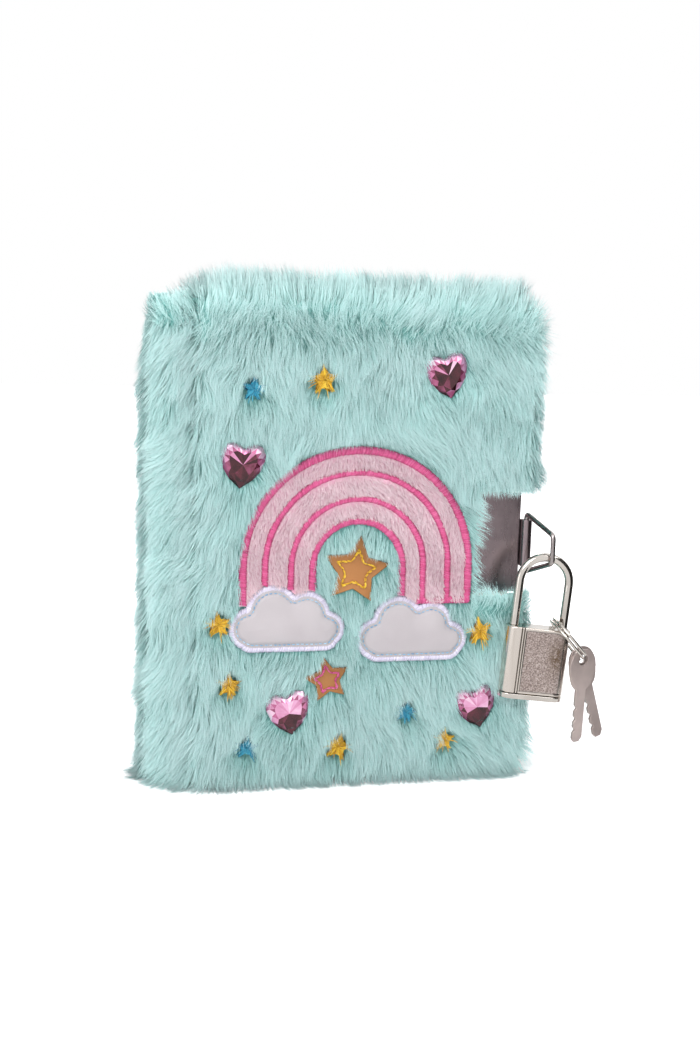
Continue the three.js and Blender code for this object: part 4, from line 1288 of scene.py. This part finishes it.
WEAR_X, WEAR_Z, WEAR_WIDTH, WEAR_HEIGHT = 6.3, -8.5, 2.4, 5.0
PANEL_LEFT, PANEL_RIGHT, PANEL_TOP, PANEL_FOOT, PANEL_CORNER = -4.2, 8.3, -0.9, LOCK_FOOT + 0.8, 2.8


def in_lock(points):
    points = np.asarray(points, float)
    return LOCK_TOP + points[:, :1] * LOCK_X + points[:, 1:2] * LOCK_Y + points[:, 2:] * LOCK_Z


def step_at(value, edge, soft):
    t = np.clip((value - edge) / soft + 0.5, 0, 1)
    return t * t * (3 - 2 * t)


def housing_section():
    """Points round the padlock's body, with the direction out of it, from the front's left end."""
    half, radius = LOCK_WIDTH / 2 - LOCK_DEPTH / 2, LOCK_DEPTH / 2
    flat = np.linspace(-half, half, 150, endpoint=False)
    bow = np.linspace(-np.pi / 2, np.pi / 2, 26, endpoint=False)
    front = [((x, -radius), (0, -1)) for x in flat]
    right = [((half + radius * math.cos(a), radius * math.sin(a)), (math.cos(a), math.sin(a))) for a in bow]
    back = [((-x, radius), (0, 1)) for x in flat]
    left = [((-x, -y), (-nx, -ny)) for (x, y), (nx, ny) in right]
    spots, out = zip(*(front + right + back + left))
    return np.array(spots), np.array(out)


def band_of(distance, width):
    """1 at a distance of 0, fading out over a width."""
    return np.exp(-((distance / width) ** 2))


def lock_body():
    """The padlock's body: grooves beside its left column and a sanded panel within a thin raised border."""
    spots, out = housing_section()
    near_end = np.array([0, 0.08, 0.2, 0.38])
    sides = np.arange(-0.6, LOCK_FOOT + 0.5, -0.17)
    height = np.concatenate([-near_end, sides, LOCK_FOOT + near_end[::-1]])
    x = np.broadcast_to(spots[:, 0], (len(height), len(spots)))
    z = np.broadcast_to(height[:, None], x.shape)
    facing = np.broadcast_to(np.abs(out[:, 1]), x.shape)
    groove = sum(band_of(x - at, 0.15) for at in GROOVES) * (facing > 0.9)
    beside = np.maximum(PANEL_LEFT - x, x - PANEL_RIGHT)
    beyond = np.maximum(z - PANEL_TOP, PANEL_FOOT - z)
    corner_x, corner_z = x - PANEL_RIGHT + PANEL_CORNER, z - PANEL_TOP + PANEL_CORNER
    in_corner = (corner_x > 0) & (corner_z > 0)
    round_off = np.hypot(corner_x, corner_z) - PANEL_CORNER
    inside = -np.where(in_corner, round_off, np.maximum(beside, beyond))
    panel = step_at(inside, 0.15, 0.3) * (facing > 0.7)
    trench = band_of(inside - 0.1, 0.16) * (facing > 0.7)
    over_edge = np.clip(LOCK_EDGE - np.minimum(-z, z - LOCK_FOOT), 0, LOCK_EDGE)
    round_in = LOCK_EDGE - np.sqrt(LOCK_EDGE**2 - over_edge**2)
    sink = 0.32 * groove + 0.16 * panel + 0.12 * trench + round_in
    flat = spots[None] - out[None] * sink[..., None]
    points = in_lock(np.concatenate([flat, z[..., None]], axis=2).reshape(-1, 3))
    faces = grid_faces(len(height), len(spots), closed=True)[:, [0, 3, 2, 1]]
    mesh = quad_mesh("lock_body", points, faces)
    wear = band_of(x - WEAR_X, WEAR_WIDTH) * band_of(z - WEAR_Z, WEAR_HEIGHT) * (facing > 0.5) * (x > 0)
    set_values(mesh, "panel", panel)
    set_values(mesh, "wear", wear)
    set_values(mesh, "dark", np.clip(groove + 0.8 * trench, 0, 1))
    body = new_object("lock_body", mesh, lock_metal, "lock_case")
    ends = new_object("lock_body_ends", lock_ends(spots - out * LOCK_EDGE), nickel, "lock_case")
    for obj in (body, ends):
        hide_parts("lock_housing")


def lock_ends(rim):
    """The top face with the shackle's two holes, the lower face with the plug's bore, and their walls."""
    points, faces = [], []
    angle = np.arange(BORE_SIDES) * 2 * np.pi / BORE_SIDES

    def circle(x, radius, z):
        return [(x + radius * math.cos(a), radius * math.sin(a), z) for a in angle]

    def face(z, upward, *holes):
        start = len(points)
        loops = [[(x, y, z) for x, y in rim], *(circle(*hole, z) for hole in holes)]
        for loop in loops:
            points.extend(loop)
        for a, b, c in tessellate_polygon([[Vector((x, y, 0)) for x, y, _ in loop] for loop in loops]):
            p, q, r = (points[start + v] for v in (a, b, c))
            up = (q[0] - p[0]) * (r[1] - p[1]) - (q[1] - p[1]) * (r[0] - p[0])
            faces.append(tuple(start + v for v in ((a, b, c) if (up > 0) == upward else (a, c, b))))

    def wall(x, radius, z0, z1):
        start = len(points)
        points.extend(circle(x, radius, z0) + circle(x, radius, z1))
        for i in range(BORE_SIDES):
            n = (i + 1) % BORE_SIDES
            faces.append((start + i, start + BORE_SIDES + i, start + BORE_SIDES + n, start + n))

    face(0.0, True, (-LEG, LEG_HOLE), (LEG, LEG_HOLE))
    face(LOCK_FOOT, False, (0, PLUG_BORE))
    wall(-LEG, LEG_HOLE, 0, -LEG_HOLE_DEPTH)
    wall(LEG, LEG_HOLE, 0, -LEG_HOLE_DEPTH)
    wall(0, PLUG_BORE, LOCK_FOOT + PLUG_DEPTH, LOCK_FOOT)
    return mesh_from("lock_body_ends", in_lock(points), faces, smooth=False)


def lock_material():
    """Nickel: bright column and border, sand-blasted panel, dark grooves and a brownish worn patch."""
    m = Nodes("lock_metal")
    panel = m.attribute("panel")
    wear = m.attribute("wear")
    dark = m.attribute("dark")
    grit = m.noise(2300, 3.0, 0.6)
    blotch = m.noise(1100, 4.0, 0.7)
    streak = m.noise(500, 3.0, 0.6, m.place((1, 1, 0.08)))
    bright = m.mix(streak, srgb(202, 192, 184), srgb(226, 218, 210))
    grains = srgb(115, 100, 95), srgb(155, 140, 134), srgb(193, 179, 173)
    sand = m.ramp(grit, *zip((0.36, 0.5, 0.64), grains))
    face = m.mix(panel, bright, sand)
    stain = m.math("MULTIPLY", wear, m.gate(blotch, 0.34, 0.52))
    worn = m.mix(m.math("MULTIPLY", stain, 0.85), face, srgb(92, 70, 44))
    m.colour(m.mix(m.math("MULTIPLY", dark, 0.85), worn, srgb(52, 46, 44)))
    rougher = m.math("ADD", m.math("MULTIPLY", panel, 0.24), m.math("MULTIPLY", stain, 0.3))
    m.roughness(m.math("ADD", rougher, 0.16))
    m.link(m.math("SUBTRACT", 1.0, m.math("MULTIPLY", panel, 0.5)), m.shader.inputs["Metallic"])
    m.bump(m.math("MULTIPLY", grit, panel), 0.00006)
    return m.material


lock_metal = lock_material()

RING_R, RING_PITCH, RING_TURNS, RING_WIRE = 7.7, 1.15, 1.9, 0.45
RING_ENTRY = np.array([4.4, 0, 2.5])
RING_SLOPE = math.radians(45)


def split_ring():
    """The split ring: nearly two turns of round wire."""
    along = np.array([math.cos(RING_SLOPE), 0, -math.sin(RING_SLOPE)])
    normal = np.array([math.sin(RING_SLOPE), 0, math.cos(RING_SLOPE)])
    across = np.cross(normal, along)
    centre = RING_ENTRY + along * RING_R
    t = np.linspace(0, 1, 130)[:, None]
    angle = t * RING_TURNS * 2 * np.pi
    path = centre + RING_R * (along * np.cos(angle) + across * np.sin(angle))
    path = path + normal * (t - 0.5) * RING_TURNS * RING_PITCH
    obj = wire("split_ring", in_lock(path), RING_WIRE, nickel, sides=14)
    rides("ring")(obj)
    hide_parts("key_ring")


def hardware():
    for side in ("front", "back"):
        softened(f"{side}_plate", 0.14, plate_metal, rides(f"{side}_cover"))
    bail("front", -1, FRONT_SWING)
    bail("back", 1, BACK_SWING)
    lock_body()
    softened("lock_base_plate", 0.22, nickel, rides("lock_case"))
    softened("lock_shackle", 0.0, nickel, rides("shackle"))
    split_ring()
    for key, body in (("key_1", "first_key"), ("key_2", "second_key")):
        softened(key, 0.16, key_metal, rides(body))
    paint(polished_steel, "heel_spring")
    paint(brass, "lock_bolt", "lock_plug", "lock_wafer_1", "lock_wafer_2", "lock_wafer_3")


# Boards, paper and what lies inside the covers


def paper_material():
    """Page edges: fine lines of the separate leaves across the thickness of the block."""
    m = Nodes("page_paper")
    lines = m.noise(1.0, 2.0, 0.6, m.place((60, 9000, 60)))
    fibres = m.noise(1200, 3.0)
    tone = m.math("ADD", m.math("MULTIPLY", lines, 0.7), m.math("MULTIPLY", fibres, 0.3))
    tones = srgb(230, 225, 214), srgb(238, 234, 225), srgb(245, 242, 235)
    m.colour(m.ramp(tone, *zip((0.3, 0.5, 0.7), tones)))
    m.set(Roughness=0.85, Specular_IOR_Level=0.2)
    m.bump(lines, 0.00008)
    return m.material


def insides():
    paper = paper_material()
    paint(paper, "front_flyleaf", *(f"page_section_{i}" for i in range(1, 5)))
    board = plain_material("greyboard", srgb(150, 142, 130), srgb(178, 170, 156), 900)
    paint(board, "front_board", "back_board", "spine_board")
    foam = plain_material("foam", srgb(226, 222, 210), srgb(243, 240, 232), 1400, bump=0.0001)
    paint(foam, "front_padding", "back_padding")
    cotton = plain_material("lining_cloth", srgb(226, 160, 184), srgb(244, 198, 214), 1800, bump=0.0001)
    paint(cotton, "spine_lining", "head_band", "tail_band")
    pink = plain_material("pink_endpaper", srgb(238, 184, 204), srgb(246, 200, 216), 700, 0.75, 0.00001)
    paint(pink, "front_endpaper", "back_endpaper")


plush()
bands()
cloud_patch("left", clouds[0])
cloud_patch("right", clouds[1])
star_patch("applique_big_star", big_centre, BIG_R, BIG_TURN, gold_thread, 120)
star_patch("applique_small_star", small_centre, SMALL_R, SMALL_TURN, hot_pink, 130)
for i, (place, radius) in enumerate(zip(threads_at, thread_radii)):
    thread_star(i, place, radius, gold_thread if i < 6 else blue_thread)
for i, (place, turn) in enumerate(zip(gems, gem_turns)):
    # bright gems get a painted highlight on the upper half of their table
    heart_gem(i, place, turn, bright=i > 1)
hardware()
insides()

# Stage, light and camera

BOOK_MIDDLE = (57, 0, 70)


def world_light():
    """Soft grey light from all round, paler above, which cameras and mirrors see as white."""
    world = bpy.data.worlds.new("studio")
    bpy.context.scene.world = world
    world.use_nodes = True
    w = Tree(world.node_tree)
    where = w.add("ShaderNodeTexCoord")
    split = w.add("ShaderNodeSeparateXYZ")
    w.link(where.outputs["Generated"], split.inputs[0])
    level = w.math("MULTIPLY_ADD", split.outputs["Z"], 0.5, 0.5)
    sky = w.ramp(level, (0.42, (0.5, 0.5, 0.52, 1)), (0.8, (0.74, 0.74, 0.76, 1)))
    seen = w.add("ShaderNodeLightPath").outputs
    plain = w.math("MAXIMUM", seen["Is Camera Ray"], seen["Is Glossy Ray"])
    plain = w.math("MAXIMUM", plain, seen["Is Transmission Ray"])
    background = w.tree.nodes["Background"]
    w.link(w.mix(plain, sky, (1, 1, 1, 1)), background.inputs["Color"])
    background.inputs["Strength"].default_value = 1.0


def aim(obj, place, target):
    obj.location = Vector(place) * MM
    obj.rotation_euler = (Vector(target) * MM - obj.location).to_track_quat("-Z", "Y").to_euler()


def sheet(name, half_width, half_height):
    """A flat mesh round its own middle."""
    corners = [(x * half_width, y * half_height, 0) for x, y in ((-1, -1), (1, -1), (1, 1), (-1, 1))]
    return mesh_from(name, corners, [(0, 1, 2, 3)])


def lamp(name, place, target, size, power):
    data = bpy.data.lights.new(name, "AREA")
    data.shape = "SQUARE"
    data.size = size * MM
    data.energy = power
    aim(linked(name, data), place, target)


def flag(name, place, target, width, height):
    """A dark card that the polished metal mirrors."""
    obj = new_object(name, sheet(name, width / 2, height / 2), card)
    aim(obj, place, target)
    obj.visible_camera = False
    obj.visible_diffuse = False
    obj.visible_shadow = False


def card_material():
    m = Nodes("dark_card")
    m.set(Base_Color=(0.02, 0.02, 0.02, 1), Roughness=0.9, Specular_IOR_Level=0.1)
    return m.material


def floor():
    """The ground: dark under the object, brighter further away, and white to cameras and mirrors."""
    m = Nodes("floor")
    m.set(Roughness=0.9, Specular_IOR_Level=0.0, Emission_Color=(1, 1, 1, 1))
    seen = m.add("ShaderNodeLightPath").outputs
    where = m.add("ShaderNodeTexCoord")
    away = m.add("ShaderNodeVectorMath", operation="DISTANCE")
    away.inputs[1].default_value = (BOOK_MIDDLE[0] * MM, 0, 0)
    m.link(where.outputs["Object"], away.inputs[0])
    fade = m.add_range(away.outputs["Value"], (0.3, 1.0), (0.12, 0.36))
    mirrored = m.math("MAXIMUM", seen["Is Glossy Ray"], seen["Is Transmission Ray"])
    m.colour(m.math("SUBTRACT", 1.0, mirrored))
    glow = m.math("MAXIMUM", mirrored, m.math("MULTIPLY", seen["Is Camera Ray"], fade))
    m.link(glow, m.shader.inputs["Emission Strength"])
    new_object("floor", sheet("floor", 3000, 3000), m.material)


world_light()
floor()
lamp("key_light", (-250, -420, 420), BOOK_MIDDLE, 320, 2.1)
lamp("fill_light", (330, -330, 430), BOOK_MIDDLE, 320, 0.9)
lamp("back_light", (60, 420, 380), BOOK_MIDDLE, 300, 1.2)
lamp("left_light", (-420, -260, 60), (0, 0, 45), 240, 0.22)
card = card_material()
flag("right_card", (203, -69, 72), (110, -31, 72), 196, 190)

CAMERA_AZIMUTH, CAMERA_ELEVATION, CAMERA_ROLL = (math.radians(v) for v in (-14.0, 8.0, 1.69))
CAMERA_DISTANCE = 400.0
CAMERA_TARGET = (55.9, -20.0, 81.1)
PIXELS_PER_MM = 3.315
IMAGE_HEIGHT = 1050


def camera():
    data = bpy.data.cameras.new("camera")
    data.sensor_fit = "VERTICAL"
    data.sensor_height = 36
    data.lens = PIXELS_PER_MM * CAMERA_DISTANCE / IMAGE_HEIGHT * data.sensor_height
    data.clip_start = 0.01
    obj = linked("camera", data)
    bpy.context.scene.camera = obj
    a, e = CAMERA_AZIMUTH, CAMERA_ELEVATION
    back = Vector((math.sin(a) * math.cos(e), -math.cos(a) * math.cos(e), math.sin(e)))
    right = Vector((math.cos(a), math.sin(a), 0))
    up = back.cross(right)
    c, s = math.cos(CAMERA_ROLL), math.sin(CAMERA_ROLL)
    right, up = c * right + s * up, c * up - s * right
    turn = Matrix((right, up, back)).transposed().to_4x4()
    obj.matrix_world = Matrix.Translation((Vector(CAMERA_TARGET) + back * CAMERA_DISTANCE) * MM) @ turn


camera()
bpy.context.scene.view_settings.view_transform = "Standard"
